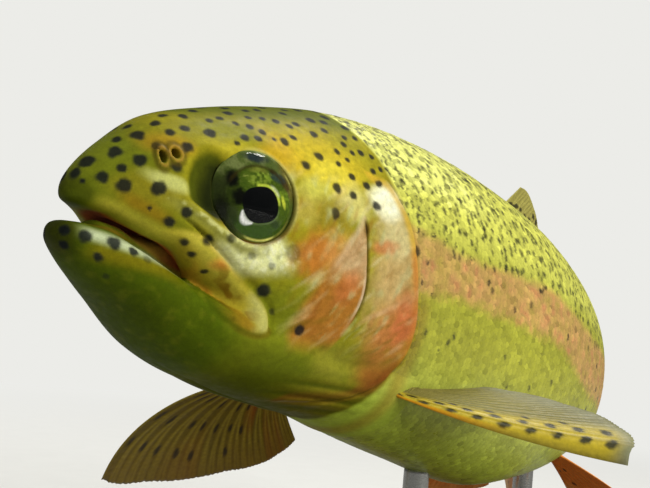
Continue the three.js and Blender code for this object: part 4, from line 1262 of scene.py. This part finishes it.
def eye_colour(back, up):
    """The eye's face: a black pupil with a thin bright edge, a speckled green iris, a glassy band outside,
    painted shadow in front.
    """
    x, y = back - PUPIL_CENTRE[0], up - PUPIL_CENTRE[1]
    angle = np.arctan2(y, x)
    from_pupil = np.hypot(x, y) / pupil_oval(angle) - PUPIL
    from_edge = np.hypot(back - IRIS_CENTRE[0], up - IRIS_CENTRE[1]) - IRIS
    flat = np.stack([back, up, 0 * back], 1)
    mottle, fine = noise(flat, 1.3, 20), noise(flat, 0.45, 21)
    speck = noise(flat, 0.22, 23)
    colour = np.tile(srgb(72, 94, 22), (len(back), 1))
    colour = lay(colour, srgb(118, 144, 36), 0.85 * smooth(mottle + 0.7 * fine, -0.2, 0.6)
                 * smooth(up, -3, 1))
    colour = lay(colour, srgb(156, 178, 60), 0.7 * bump(np.hypot(back - 0.2, (up - 3.4) / 0.8), 0.4, 2.4)
                 * smooth(fine, -0.5, 0.5))
    colour = lay(colour, srgb(150, 160, 70), 0.75 * smooth(speck + 0.4 * fine, 0.5, 1.0) * smooth(up, 0, 3))
    colour = lay(colour, srgb(52, 80, 28), 0.7 * smooth(-up + 0.6 * mottle, 3.4, 5.0))
    # painted shadow of the socket over the front of the iris
    colour = lay(colour, srgb(32, 40, 10), 0.8 * smooth(-back + 0.5 * mottle, 2.4, 4.2))

    def spot(at_back, at_up, half_back, half_up, amount, tone, lean=0.0):
        nonlocal colour
        off = back - at_back - lean * (up - at_up)
        reach = np.hypot(off / half_back, (up - at_up) / half_up) + 0.16 * fine
        colour = lay(colour, srgb(*tone), amount * (1 - smooth(reach, 0.45, 1.1)))

    def arc(gap, at, half, start, end, amount, tone):
        """A line round the pupil's centre between two angles, in degrees from the tail's side upward."""
        nonlocal colour
        turn = (np.degrees(angle) - start) % 360
        along = smooth(turn, 0, 14) * (1 - smooth(turn, end - start - 14, end - start))
        colour = lay(colour, srgb(*tone), amount * bump(gap, at, half) * along)

    # outside the iris: greenish band, blue-grey above, brown and gold below, painted shadow at the front
    outer = smooth(from_edge, -0.15, 0.3)
    colour = lay(colour, srgb(84, 100, 40), outer)
    colour = lay(colour, srgb(128, 138, 78), 0.8 * outer * smooth(mottle + 0.4 * fine, -0.2, 0.6)
                 * smooth(up, -1, 3))
    colour = lay(colour, srgb(34, 42, 12), 0.9 * outer * smooth(-back, 1.5, 4.0) * smooth(-up, -5, -1))
    colour = lay(colour, srgb(112, 96, 36), 0.7 * outer * smooth(back, 3.5, 5.5) * smooth(up, -0.5, 2))
    spot(-0.3, 6.7, 2.9, 0.95, 0.9, (34, 46, 56))
    spot(5.6, 3.0, 1.0, 1.5, 0.8, (66, 46, 18), -0.5)
    # dark patches of the iris; the three darkest, at the front, are painted shadow of the socket
    spot(4.0, 4.0, 1.9, 1.1, 0.85, (46, 62, 60), -0.5)
    spot(3.0, 4.9, 1.0, 0.6, 0.8, (44, 34, 12), -0.5)
    spot(-4.6, 2.4, 1.6, 1.9, 1, (10, 12, 5))
    spot(-3.1, -0.5, 1.6, 2.0, 1, (10, 13, 5))
    spot(-6.2, -3.2, 1.9, 3.0, 0.9, (16, 20, 6))
    spot(3.9, -4.0, 1.2, 0.9, 0.6, (24, 44, 18))
    arc(from_edge, 0.1, 0.5, 40, 158, 0.75, (56, 48, 12))
    arc(from_edge, -0.5, 0.6, 76, 120, 0.6, (136, 138, 52))
    spot(5.4, -0.1, 0.45, 1.3, 0.95, (206, 214, 66), -0.3)
    arc(from_edge, 0.25, 0.3, -118, -52, 0.95, (232, 230, 120))
    arc(from_edge, 0.9, 0.5, -118, -40, 0.9, (136, 84, 24))
    # painted highlight: a pale line along the rear of the rim
    arc(from_edge, 1.5, 0.35, -30, 60, 0.7, (206, 200, 110))
    arc(from_edge, 0.35, 0.4, -60, -10, 0.6, (140, 134, 54))
    # the pupil's bright edge and the glint below it
    arc(from_pupil, 0.25, 0.42, 2, 112, 0.95, (206, 222, 74))
    arc(from_pupil, 0.45, 0.5, 24, 70, 0.6, (236, 240, 190))
    arc(from_pupil, 0.12, 0.3, -160, 0, 0.4, (120, 140, 90))
    glint = bump(np.degrees(angle), -134, 30)
    colour = lay(colour, srgb(255, 255, 250), smooth(glint, 0.05, 0.3)
                 * bump(from_pupil, 0.05 + 0.66 * glint, 0.15 + 0.8 * glint))
    return lay(colour, srgb(6, 8, 9), 1 - smooth(from_pupil, -0.06, 0.06))


def eye_material():
    m = Nodes("trout_iris")
    paint = m.add("ShaderNodeAttribute", attribute_name="Paint").outputs["Color"]
    m.link(m.tinted(paint, m.texture(2600, 4), 0.75, 1.25), "Base Color")
    m.link(m.bump(m.texture(2400, 3), 0.00005, 0.4), "Normal")
    m.link(m.ramp(m.texture(900), 0.3, 0.7, 0.42, 0.6), "Roughness")
    m.set(Specular_IOR_Level=0.05)
    return m.material


def cornea_material():
    m = Nodes("trout_cornea")
    m.link(m.ramp(m.texture(300), 0.3, 0.7, 0.015, 0.03), "Roughness")
    m.link(m.bump(m.texture(240, 1), 0.00002, 0.15), "Normal")
    m.set(Base_Color=(1, 1, 0.98, 1), Transmission_Weight=1.0, IOR=1.05, Coat_Weight=0.8, Coat_IOR=1.38,
          Coat_Roughness=0.03)
    return m.material


def make_eyes():
    iris_paint, clear = eye_material(), cornea_material()
    count = 144
    turn = np.arange(count) / count * 2 * np.pi
    profile = ([(r, 0.35 + 0.75 * math.sqrt(1 - (r / 3.7) ** 2)) for r in np.linspace(0.25, PUPIL - 0.08, 9)]
               + [(r, 0.7 - 0.1 * (r - PUPIL)) for r in np.linspace(PUPIL + 0.05, IRIS, 24)]
               + [(r, 0.42 - 0.3 * (r - IRIS)) for r in np.linspace(IRIS + 0.15, EYE["rim"] + 0.3, 12)]
               + [(7.6, -1.2), (7.0, -2.8), (5.4, -4.1), (2.6, -4.8)])
    for name, side in (("left", -1), ("right", 1)):
        back, up, out = [], [], []
        for r, height in profile:
            stops = [PUPIL, IRIS, EYE["rim"] + 0.3]
            at_back, at_up = (np.interp(r, stops, [p, i, 0]) * (height > -1) for p,
                              i in zip(PUPIL_CENTRE, IRIS_CENTRE))
            oval = 1 + (pupil_oval(turn) - 1) * np.interp(r, stops[:2], [1, 0])
            back.append(r * oval * np.cos(turn) + at_back)
            up.append(r * oval * np.sin(turn) + at_up)
            out.append(np.full(count, height))
        back = np.concatenate(back + [[PUPIL_CENTRE[0], 0]])
        up = np.concatenate(up + [[PUPIL_CENTRE[1], 0]])
        out = np.concatenate(out + [[1.1, -4.95]])
        faces = rings_mesh(len(profile), count, side < 0)
        eye = new_object(f"eyeball_{name}", to_row(bend(eye_points(side, back, up, out))), faces,
                         eye_colour(back, up))
        eye.data.materials.append(iris_paint)
        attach(eye, "root")
        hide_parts(f"eye_{name}")

        rise, radius = EYE["bulge"] - 0.1, EYE["rim"] + 0.05
        cap = (radius ** 2 + rise ** 2) / (2 * rise)
        dome = [(r, math.sqrt(cap ** 2 - r ** 2) - (cap - rise)) for r in np.linspace(0.3, radius, 22)]
        lens = dome + [(radius - 0.08, -0.5), (radius * 0.8, -1.4), (radius * 0.3, -1.8)]
        back = np.concatenate([r * np.cos(turn) for r, _ in lens] + [[0, 0]])
        up = np.concatenate([r * np.sin(turn) for r, _ in lens] + [[0, 0]])
        out = np.concatenate([np.full(count, height) for _, height in lens] + [[rise, -1.85]])
        faces = rings_mesh(len(lens), count, side < 0)
        cornea = new_object(f"cornea_{name}", to_row(bend(eye_points(side, back, up, out))), faces)
        cornea.data.materials.append(clear)
        cornea.visible_shadow = False
        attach(cornea, "root")


# ------------------------------------------------------------------ fins
def ray_ridge(u, v, rays, branch=True):
    """Height of the fin rays over the membrane, 0 to 1; each ray splits in two, then in four."""
    p = u * (rays - 1)
    f = np.abs(p - np.round(p))
    if branch:
        first = 0.25 * smooth(v, 0.3, 0.85) * (p > 0.5)
        second = 0.115 * smooth(v, 0.62, 1.05) * (p > 0.5)
        f = np.abs(np.abs(f - first) - second)
    wide = 0.34 - 0.2 * smooth(v, 0.1, 0.9)
    return bump(f, 0, wide)


def make_fin(name, node, root, tip, rays, paint, material, bow=None, in_fish=True, flesh=1.6,
             ray=(1.15, 0.42), web=(0.85, 0.28), branch=True, bury=1.5):
    """A closed plate of rays and membrane; root and tip give its base and edge as functions of u."""
    across, down = rays * 10 + 1, 72
    u, v = np.meshgrid(np.linspace(0, 1, across), np.linspace(0, 1, down), indexing="ij")
    u, v = u.ravel(), v.ravel()
    start, end = root(u), tip(u)
    reach = np.linalg.norm(end - start, axis=1)
    ridge = ray_ridge(u, v, rays, branch)
    notch = 0.008 * (1 - ray_ridge(u, 1 + 0 * u, rays,
                                   branch)) + 0.008 * noise(np.stack([u * rays * 0.7, 0 * u, 0 * u], 1), 1, 9)
    t = -bury / reach + (1 + bury / reach - notch) * v
    points = start + (end - start) * t[:, None]
    if bow is not None:
        points = points + bow(u, np.clip(t, 0, 1))
    grid = points.reshape(across, down, 3)
    if in_fish:
        grid = bend(points).reshape(across, down, 3)
    normal = np.cross(np.gradient(grid, axis=0), np.gradient(grid, axis=1))
    normal /= np.linalg.norm(normal, axis=2)[..., None]
    v2, ridge2, u2 = v.reshape(across, down), ridge.reshape(across, down), u.reshape(across, down)
    thick_ray = ray[0] + (ray[1] - ray[0]) * v2 ** 0.7
    thick_web = web[0] + (web[1] - web[0]) * v2 ** 0.5
    half = (thick_web + (thick_ray - thick_web) * ridge2) / 2
    half += flesh * (1 - smooth(v2 * reach.reshape(across, down), 0, 6)) / 2
    side_rim = smooth(np.minimum(u2, 1 - u2) * (rays - 1), -0.02, 0.35)
    half *= (0.35 + 0.65 * side_rim) * (0.45 + 0.55 * (1 - smooth(v2, 0.985, 1.0)))
    ripple = 0.12 * noise(np.stack([u * 14, v * 3, 0 * u], 1), 1, 10).reshape(across, down) * v2
    front = (grid + normal * (half + ripple)[..., None]).reshape(-1, 3)
    behind = (grid - normal * (half - ripple)[..., None]).reshape(-1, 3)
    i, j = np.meshgrid(np.arange(across - 1), np.arange(down - 1), indexing="ij")
    a = (i * down + j).ravel()
    n = across * down
    sheet = np.stack([a, a + down, a + down + 1, a + 1], 1)
    loop = np.concatenate([np.arange(across - 1) * down, (across - 1) * down + np.arange(down - 1),
                           np.arange(across - 1, 0, -1) * down + down - 1, np.arange(down - 1, 0, -1)])
    after = np.roll(loop, -1)
    faces = np.vstack([sheet, (n + sheet)[:, ::-1], np.stack([loop, n + loop, n + after, after], 1)])
    colour = paint(u, v, ridge)
    fin = new_object(name, to_row(np.vstack([front, behind])), faces,
                     np.clip(np.vstack([colour, colour]), 0.002, 0.9))
    fin.data.materials.append(material)
    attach(fin, "root")
    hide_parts(node)
    return fin


def fin_material():
    m = Nodes("trout_fins")
    paint = m.add("ShaderNodeAttribute", attribute_name="Paint").outputs["Color"]
    m.link(m.tinted(paint, m.texture(1100, 4), 0.82, 1.16), "Base Color")
    m.link(m.ramp(m.texture(700), 0.3, 0.7, 0.36, 0.52), "Roughness")
    m.link(m.bump(m.texture(2400, 2), 0.00004, 0.4), "Normal")
    m.set(Specular_IOR_Level=0.35)
    return m.material


def dashes(u, v, rays, marks, seed=0):
    """Dark dashes that lie along the membrane: marks are (ray gap, place from root to tip, length, width)."""
    amount = np.zeros_like(u)
    uneven = noise(np.stack([u * 40, v * 12, 0 * u], 1), 1, seed)
    for gap, place, long, wide in marks:
        across = (u * (rays - 1) - gap) / wide
        near = np.hypot(across, (v - place) / long) + 0.15 * uneven
        amount = np.maximum(amount, 1 - smooth(near, 0.6, 1.05))
    return amount


def fin_paint(web, bone, rays, marks=(), tip=None, seed=0, streak=None):
    """A fin's colours: membrane and rays, cross joints along the rays, dark dashes, and a tip tone."""
    def paint(u, v, ridge):
        flat = np.stack([u * 9, v * 5, 0 * u], 1)
        patch = noise(flat, 1, seed + 30)
        colour = np.tile(web, (len(u), 1))
        colour = lay(colour, bone, 0.85 * ridge)
        joints = 0.5 + 0.5 * np.sin(v * 210 + 4 * np.sin(u * 31))
        colour = colour * (1 - 0.16 * ridge * joints * smooth(v, 0.2, 0.5))[:, None]
        if streak is not None:
            tone, low, high = streak
            warm = smooth(noise(np.stack([u * rays * 1.3, v * 1.5, 0 * u], 1), 1, seed + 31), -0.2, 0.5)
            colour = lay(colour, tone, 0.75 * warm * smooth(u, low, high))
        if tip is not None:
            colour = lay(colour, tip, 0.5 * smooth(v + 0.1 * patch, 0.7, 1.0))
        colour = lay(colour, srgb(40, 36, 24), 0.88 * dashes(u, v, rays, marks, seed))
        return colour * (1 + 0.1 * patch)[:, None]
    return paint


def scatter(rng, rays, count, low=0.12, high=0.92, size=1.0):
    """Dashes strewn over a whole fin."""
    return [(rng.integers(0, rays - 1) + 0.5 + rng.normal(0, 0.12), rng.uniform(low, high),
             rng.uniform(0.02, 0.04) * size, rng.uniform(0.3, 0.5)) for _ in range(count)]


def mid_fin(start, end, sign, sweep, height, round_off, lean=0.0):
    """Base and edge of a fin on the back (sign 1) or the belly (-1), as functions of u."""
    def root(u):
        s = start + (end - start) * u
        back, belly, _, _ = body.at(s)
        return np.stack([s, 0 * s, (back if sign > 0 else belly) + sign * 0.1], 1)

    def tip(u):
        p = root(u)
        lead = (1 - u) ** 6
        tall = (height[0] + (height[1] - height[0]) * u ** 0.8) * (1 - round_off * lead)
        rear = (sweep[0] + (sweep[1] - sweep[0]) * u) * (1 - 0.35 * round_off * lead)
        return p + np.stack([rear, lean * tall, sign * tall], 1)
    return root, tip


# The pectoral fins' lengths, directions and bows began as a least-squares fit by a scratch program
PAIRED = {
    "pectoral": {"front": (69.6, 16, -26), "rear": (75.5, 17.5, -24.2), "long": 57, "short": 20},
    "pelvic": {"front": (164, 13, -25.4), "rear": (170, 10, -26), "long": 34, "short": 16},
}


def paired_fin(kind, side, first, last, bow, curl=1.0):
    """Base, edge and bow of a paired fin; first and last are its outer rays' azimuth and elevation.
    A curl under 1 turns the leading rays down more than the rest."""
    shape = PAIRED[kind]
    ends = [bend(np.array([[s, side * y, z]], float))[0] for s, y, z in (shape["front"], shape["rear"])]

    def root(u):
        return ends[0] + (ends[1] - ends[0]) * u[:, None]

    def tip(u):
        azimuth = np.radians(first[0] + (last[0] - first[0]) * u)
        rise = np.radians(first[1] + (last[1] - first[1]) * u ** curl)
        way = np.stack([np.cos(rise) * np.cos(azimuth), side * np.cos(rise) * np.sin(azimuth), np.sin(rise)],
                       1)
        reach = (shape["long"] + (shape["short"] - shape["long"]) * u ** 0.9) * (1 - 0.16 * (1 - u) ** 8)
        return root(u) + way * reach[:, None]

    def bowed(u, t):
        return np.array(bow, float) * (4 * t * (1 - t) * (1 - 0.6 * u))[:, None]
    return root, tip, bowed


def make_mid_fins(rng, material):
    root, tip = mid_fin(128, 165, 1, (12, 14), (17, 6), 0.3, -0.1)
    make_fin("fin_dorsal", "dorsal_fin", root, tip, 12,
             fin_paint(srgb(150, 142, 70), srgb(184, 174, 90), 12, scatter(rng, 12, 58, 0.1, 0.95, 1.8),
                       seed=1), material)
    root, tip = mid_fin(245, 253, 1, (12, 7), (8, 4), 0.5)
    make_fin("fin_adipose", "adipose_fin", root, tip, 4,
             fin_paint(srgb(150, 146, 66), srgb(150, 146, 66), 4, scatter(rng, 4, 4, 0.3, 0.9, 3.0),
                       srgb(50, 48, 30), 2), material, ray=(1.5, 0.8), web=(1.5, 0.7), branch=False)
    root, tip = mid_fin(219, 246, -1, (19, 9), (27, 9), 0.25)
    make_fin("fin_anal", "anal_fin", root, tip, 12,
             fin_paint(srgb(176, 112, 56), srgb(196, 136, 74), 12, scatter(rng, 12, 10), srgb(206, 180, 130),
                       3), material)

    def tail_root(u):
        return np.stack([np.full(len(u), BODY_END + 0.3), 0 * u, 13.4 * (1 - 2 * u)], 1)

    def tail_tip(u):
        across = 1 - 2 * u
        far = np.abs(across)
        reach = (29 + 17 * far ** 1.5) * (1 - 0.12 * far ** 14)
        return np.stack([BODY_END + reach, 0 * u, 37 * np.sign(across) * far ** 0.93], 1)
    make_fin("fin_tail", "caudal_fin", tail_root, tail_tip, 20,
             fin_paint(srgb(146, 134, 66), srgb(176, 162, 88), 20, scatter(rng, 20, 120, 0.06, 0.95, 1.2),
                       srgb(160, 120, 70), 4), material, flesh=1.2, bury=4, ray=(1.4, 0.5), web=(1.0, 0.28))


def make_pectoral_fins(rng, material):
    lead = ([(0.6 + 0.12 * rng.normal(), v, 0.028, 0.4) for v in np.arange(0.08, 0.95, 0.105)]
            + [(1.6 + 0.12 * rng.normal(), v, 0.028, 0.4) for v in np.arange(0.13, 0.93, 0.11)]
            + [(2.5 + 0.12 * rng.normal(), v, 0.022, 0.34) for v in np.arange(0.3, 0.8, 0.15)])
    grey = fin_paint(srgb(116, 112, 44), srgb(156, 142, 74), 14, lead, srgb(140, 146, 130), 5)

    def left_paint(u, v, ridge):
        near = 1 - smooth(u * 13 + 0.3 * v, 1.6, 3.4)
        yellow = lay(np.tile(srgb(196, 174, 42), (len(u), 1)), srgb(170, 152, 50), 0.6 * ridge)
        marks = lay(yellow, srgb(36, 40, 26), 0.94 * dashes(u, v, 14, lead, 5))
        colour = lay(grey(u, v, ridge), marks, near * (1 - smooth(v, 0.9, 1.0)))
        return lay(colour, srgb(226, 158, 18), 0.95 * (1 - smooth(u * 13, 0.12, 0.34))
                   * (1 - smooth(v, 0.2, 0.6)))
    root, tip, bow = paired_fin("pectoral", -1, (52, -11), (15, 4), (0, 0, -1.2), 0.4)
    make_fin("fin_pectoral_left", "pectoral_fin_left", root, tip, 14, left_paint, material, bow,
             in_fish=False, bury=3, flesh=2.2)
    arcs = [(gap + 0.5 + 0.1 * rng.normal(), v + 0.02 * gap + 0.01 * rng.normal(), 0.045, 0.17)
            for v in (0.35, 0.55, 0.75) for gap in range(8) if rng.uniform() < 0.8]
    right_paint = fin_paint(srgb(124, 106, 20), srgb(182, 160, 52), 14, arcs, srgb(120, 92, 26), 6,
                            (srgb(166, 84, 22), 0.1, 0.75))
    root, tip, bow = paired_fin("pectoral", 1, (110, -35), (20, -53), (-8, -1, 4.5))
    make_fin("fin_pectoral_right", "pectoral_fin_right", root, tip, 14, right_paint, material, bow,
             in_fish=False, bury=3, flesh=2.2)


def make_pelvic_fins(rng, material):
    red = fin_paint(srgb(232, 126, 44), srgb(238, 150, 66), 10, scatter(rng, 10, 4), srgb(232, 184, 110), 7)
    for name, side, first, last in (("left", -1, (40, -27), (6, -40)), ("right", 1, (66, -38), (8, -48))):
        root, tip, bow = paired_fin("pelvic", side, first, last, (0, 0, 0.5))
        make_fin(f"fin_pelvic_{name}", f"pelvic_fin_{name}", root, tip, 10, red, material, bow, in_fish=False,
                 bury=3, flesh=1.8)


def make_fins():
    rng = np.random.default_rng(8)
    material = fin_material()
    make_mid_fins(rng, material)
    make_pectoral_fins(rng, material)
    make_pelvic_fins(rng, material)


# ------------------------------------------------------------------ stand
def lathe(name, profile, centre, count=56):
    """A turned solid about a vertical axis, closed at both ends; profile is (radius, height) upward, mm."""
    turn = np.arange(count) / count * 2 * np.pi
    points = [np.stack([r * np.cos(turn) + centre[0], r * np.sin(turn) + centre[1], np.full(count, z)], 1)
              for r, z in profile]
    ends = [[centre[0], centre[1], profile[0][1]], [centre[0], centre[1], profile[-1][1]]]
    return new_object(name, np.vstack(points + [ends]) * MM, rings_mesh(len(profile), count, False))


def walnut():
    wood = Nodes("stand_walnut")
    where = wood.add("ShaderNodeTexCoord").outputs["Object"]
    long = wood.add("ShaderNodeMapping", {"Vector": where, "Scale": (0.12, 1.0, 1.0)}).outputs[0]
    warp = wood.add("ShaderNodeTexNoise", {"Vector": long, "Scale": 26.0, "Detail": 3.0}).outputs["Fac"]
    lines = wood.add("ShaderNodeTexNoise",
                     {"Vector": long, "Scale": 420.0, "Detail": 5.0, "Distortion": 0.6}).outputs["Fac"]
    rings = wood.add("ShaderNodeTexWave", {"Vector": long, "Scale": 46.0, "Distortion": 9.0, "Detail": 3.0,
                                           "Detail Scale": 1.4}, bands_direction="Y").outputs["Fac"]
    tone = wood.add("ShaderNodeMix", {0: 0.45, 2: rings, 3: lines}).outputs[0]
    tone = wood.add("ShaderNodeMix", {0: 0.35, 2: tone, 3: warp}).outputs[0]
    ramp = wood.add("ShaderNodeValToRGB", {"Fac": tone})
    ramp.color_ramp.elements[0].position, ramp.color_ramp.elements[1].position = 0.28, 0.72
    ramp.color_ramp.elements[0].color = (*srgb(62, 38, 24), 1)
    ramp.color_ramp.elements[1].color = (*srgb(124, 82, 52), 1)
    wood.link(ramp.outputs["Color"], "Base Color")
    wood.link(wood.ramp(lines, 0.3, 0.7, 0.34, 0.5), "Roughness")
    wood.link(wood.bump(lines, 0.0001, 0.35), "Normal")
    wood.set(Coat_Weight=0.25, Coat_Roughness=0.2)
    return wood.material


def brushed_steel():
    steel = Nodes("stand_steel")
    grain = steel.texture(500, 3, 0.6, (1, 1, 14))
    steel.link(steel.tinted(steel.add("ShaderNodeRGB").outputs[0], grain, 0.9, 1.06), "Base Color")
    steel.tree.nodes["RGB"].outputs[0].default_value = (*srgb(196, 196, 192), 1)
    steel.link(steel.ramp(grain, 0.3, 0.7, 0.22, 0.36), "Roughness")
    steel.link(steel.bump(grain, 0.00002, 0.3), "Normal")
    steel.set(Metallic=1.0)
    return steel.material


def make_plinth():
    low, high = (np.array(v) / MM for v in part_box("stand_base"))
    middle, size, corner, edge = (low + high) / 2, high - low, 40.0, 3.0
    turn = np.arange(160) / 160 * 2 * np.pi
    straight = np.stack([size[0] / 2 - corner, size[1] / 2
                         - corner]) * np.sign(np.stack([np.cos(turn), np.sin(turn)], 1))
    fillet = [(edge * (1 - math.sin(a)), high[2] - edge * (1 - math.cos(a))) for a in np.linspace(np.pi / 2,
                                                                                                  0, 9)]
    profile = [(1.0, low[2]), (0.0, low[2] + 1.0)] + fillet + [(6.0, high[2])]
    rings = [np.hstack([middle[:2] + straight + (corner - inset) * np.stack([np.cos(turn), np.sin(turn)], 1),
                        np.full((160, 1), z)]) for inset, z in profile]
    ends = [[middle[0], middle[1], low[2]], [middle[0], middle[1], high[2]]]
    base = new_object("stand_plinth", np.vstack(rings + [ends]) * MM, rings_mesh(len(rings), 160, False))
    base.data.materials.append(walnut())
    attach(base, "root")
    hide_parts("stand_base")


def make_posts():
    steel = brushed_steel()
    for name in ("front", "rear"):
        low, high = (np.array(v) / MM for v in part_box(f"stand_rod_{name}"))
        middle = (low + high) / 2
        flange, rod = 8.0, 3.0
        profile = [(flange - 0.4, low[2] - 0.3), (flange, low[2] + 0.2)]
        profile += [(flange - 1.0 * (1 - math.cos(a)), low[2] + 1.9 + 1.0
                     * math.sin(a)) for a in np.linspace(0, np.pi / 2, 6)]
        profile += [(rod + 1.6 * (1 - math.sin(a)), low[2] + 2.95 + 1.6
                     * (1 - math.cos(a))) for a in np.linspace(0, np.pi / 2, 6)]
        profile += [(rod, high[2] - 0.6), (rod, high[2] + 0.9)]
        post = lathe(f"stand_post_{name}", profile, middle)
        post.data.materials.append(steel)
        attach(post, "root")
        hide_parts(f"stand_rod_{name}")


# ------------------------------------------------------------------ stage, light and camera
PALE = srgb(236, 236, 232)
FLOOR = srgb(226, 226, 222)


def make_floor():
    count = 96
    turn = np.arange(count) / count * 2 * np.pi
    radii = [0.3, 0.7, 1.4, 3.0, 8.0]
    points = np.vstack([np.stack([r * np.cos(turn), r * np.sin(turn), 0 * turn], 1) for r in radii]
                       + [[[0, 0, 0]] * 2])
    faces = rings_mesh(len(radii), count, False)
    faces = faces[~(faces == len(radii) * count + 1).any(1)]
    floor = new_object("floor", points[:-1], faces)
    floor.data.materials.append(floor_material())


def floor_material():
    m = Nodes("pale_floor")
    grain = m.texture(60, 3)
    tint = m.add("ShaderNodeRGB")
    tint.outputs[0].default_value = (*FLOOR, 1)
    m.link(m.tinted(tint.outputs[0], grain, 0.985, 1.015), "Base Color")
    m.set(Roughness=0.8, Specular_IOR_Level=0.1)
    path = m.add("ShaderNodeLightPath")
    where = m.add("ShaderNodeTexCoord").outputs["Object"]
    away = m.add("ShaderNodeVectorMath", {0: where}, operation="LENGTH").outputs["Value"]
    far = m.add("ShaderNodeMapRange", {"Value": away, "From Min": 0.2, "From Max": 0.9},
                interpolation_type="SMOOTHSTEP").outputs[0]
    blend = m.add("ShaderNodeMath", {0: path.outputs["Is Camera Ray"], 1: far},
                  operation="MULTIPLY").outputs[0]
    glow = m.add("ShaderNodeEmission", {"Color": (*PALE, 1), "Strength": 1.0}).outputs[0]
    shown = m.add("ShaderNodeMixShader", {0: blend, 1: m.shader.outputs[0], 2: glow}).outputs[0]
    dark = m.add("ShaderNodeBsdfDiffuse", {"Color": (0.3, 0.3, 0.29, 1)}).outputs[0]
    mirrored = m.add("ShaderNodeMath", {0: path.outputs["Is Diffuse Ray"], 1: path.outputs["Is Glossy Ray"]},
                     operation="MAXIMUM").outputs[0]
    mix = m.add("ShaderNodeMixShader", {0: mirrored, 1: shown, 2: dark}).outputs[0]
    m.tree.links.new(mix, m.tree.nodes["Material Output"].inputs["Surface"])
    return m.material


def make_world():
    world = bpy.data.worlds.new("soft_world")
    bpy.context.scene.world = world
    world.use_nodes = True
    tree = world.node_tree
    shown, lit = tree.nodes["Background"], tree.nodes.new("ShaderNodeBackground")
    shown.inputs["Color"].default_value = (*PALE, 1)
    shown.inputs["Strength"].default_value = 1.0
    lit.inputs["Color"].default_value = (1.0, 0.99, 0.97, 1)
    path = tree.nodes.new("ShaderNodeLightPath")
    dim = tree.nodes.new("ShaderNodeMath")             # mirrored in the wet skin the room is darker
    dim.operation = "MULTIPLY_ADD"
    tree.links.new(path.outputs["Is Glossy Ray"], dim.inputs[0])
    dim.inputs[1].default_value, dim.inputs[2].default_value = -0.28, 0.37
    tree.links.new(dim.outputs[0], lit.inputs["Strength"])
    mix = tree.nodes.new("ShaderNodeMixShader")
    tree.links.new(path.outputs["Is Camera Ray"], mix.inputs[0])
    tree.links.new(lit.outputs[0], mix.inputs[1])
    tree.links.new(shown.outputs[0], mix.inputs[2])
    tree.links.new(mix.outputs[0], tree.nodes["World Output"].inputs["Surface"])


def area_light(name, place, aim, size, power, colour=(1, 1, 1), glossy=True):
    data = bpy.data.lights.new(name, "AREA")
    data.shape = "DISK"
    data.size, data.energy, data.color = size, power, colour
    lamp = bpy.data.objects.new(name, data)
    bpy.context.scene.collection.objects.link(lamp)
    lamp.location = place
    lamp.visible_glossy = glossy
    lamp.visible_transmission = False      # the iris under the cornea is lit once, not twice
    lamp.rotation_euler = (Vector(aim) - Vector(place)).to_track_quat("-Z", "Y").to_euler()


CAMERA = {"place": (-83.0, -121.4, -18.7), "yaw": 39.85, "pitch": 6.2, "roll": 5.7, "focal": 920.0,
          "frame": 650.0}


def make_camera():
    yaw, pitch, roll = (math.radians(CAMERA[k]) for k in ("yaw", "pitch", "roll"))
    ahead = Vector((math.cos(pitch) * math.cos(yaw), math.cos(pitch) * math.sin(yaw), math.sin(pitch)))
    right = ahead.cross(Vector((0, 0, 1))).normalized()
    up = right.cross(ahead)
    right, up = math.cos(roll) * right + math.sin(roll) * up, math.cos(roll) * up - math.sin(roll) * right
    data = bpy.data.cameras.new("camera")
    data.sensor_width = 36.0
    data.lens = CAMERA["focal"] / CAMERA["frame"] * data.sensor_width
    data.clip_start, data.clip_end = 0.01, 30
    camera = bpy.data.objects.new("camera", data)
    bpy.context.scene.collection.objects.link(camera)
    turn = Matrix((right, up, -ahead)).transposed()
    camera.matrix_world = Matrix.Translation(to_row(np.array(CAMERA["place"]))) @ turn.to_4x4()
    bpy.context.scene.camera = camera


bpy.context.scene.view_settings.view_transform = "Standard"
make_camera()
make_floor()
make_world()
area_light("key", (0.3, -0.05, 1.0), (-0.02, 0, 0.1), 0.4, 4.8, (1, 0.99, 0.94))
area_light("side", (0.1, -0.95, 0.42), (-0.02, 0, 0.1), 0.7, 8.0, (1, 1, 0.97), glossy=False)
area_light("back", (0.1, 0.95, 0.7), (0, 0, 0.1), 0.6, 4.0, glossy=False)

skin = make_skin()
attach(skin, "root")
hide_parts("head", "lower_jaw", "maxilla_left", "maxilla_right", "gill_cover_left", "gill_cover_right",
            "trunk_front", "trunk_middle", "trunk_rear", "tail_stalk")
make_scales()
make_eyes()
make_fins()
make_plinth()
make_posts()
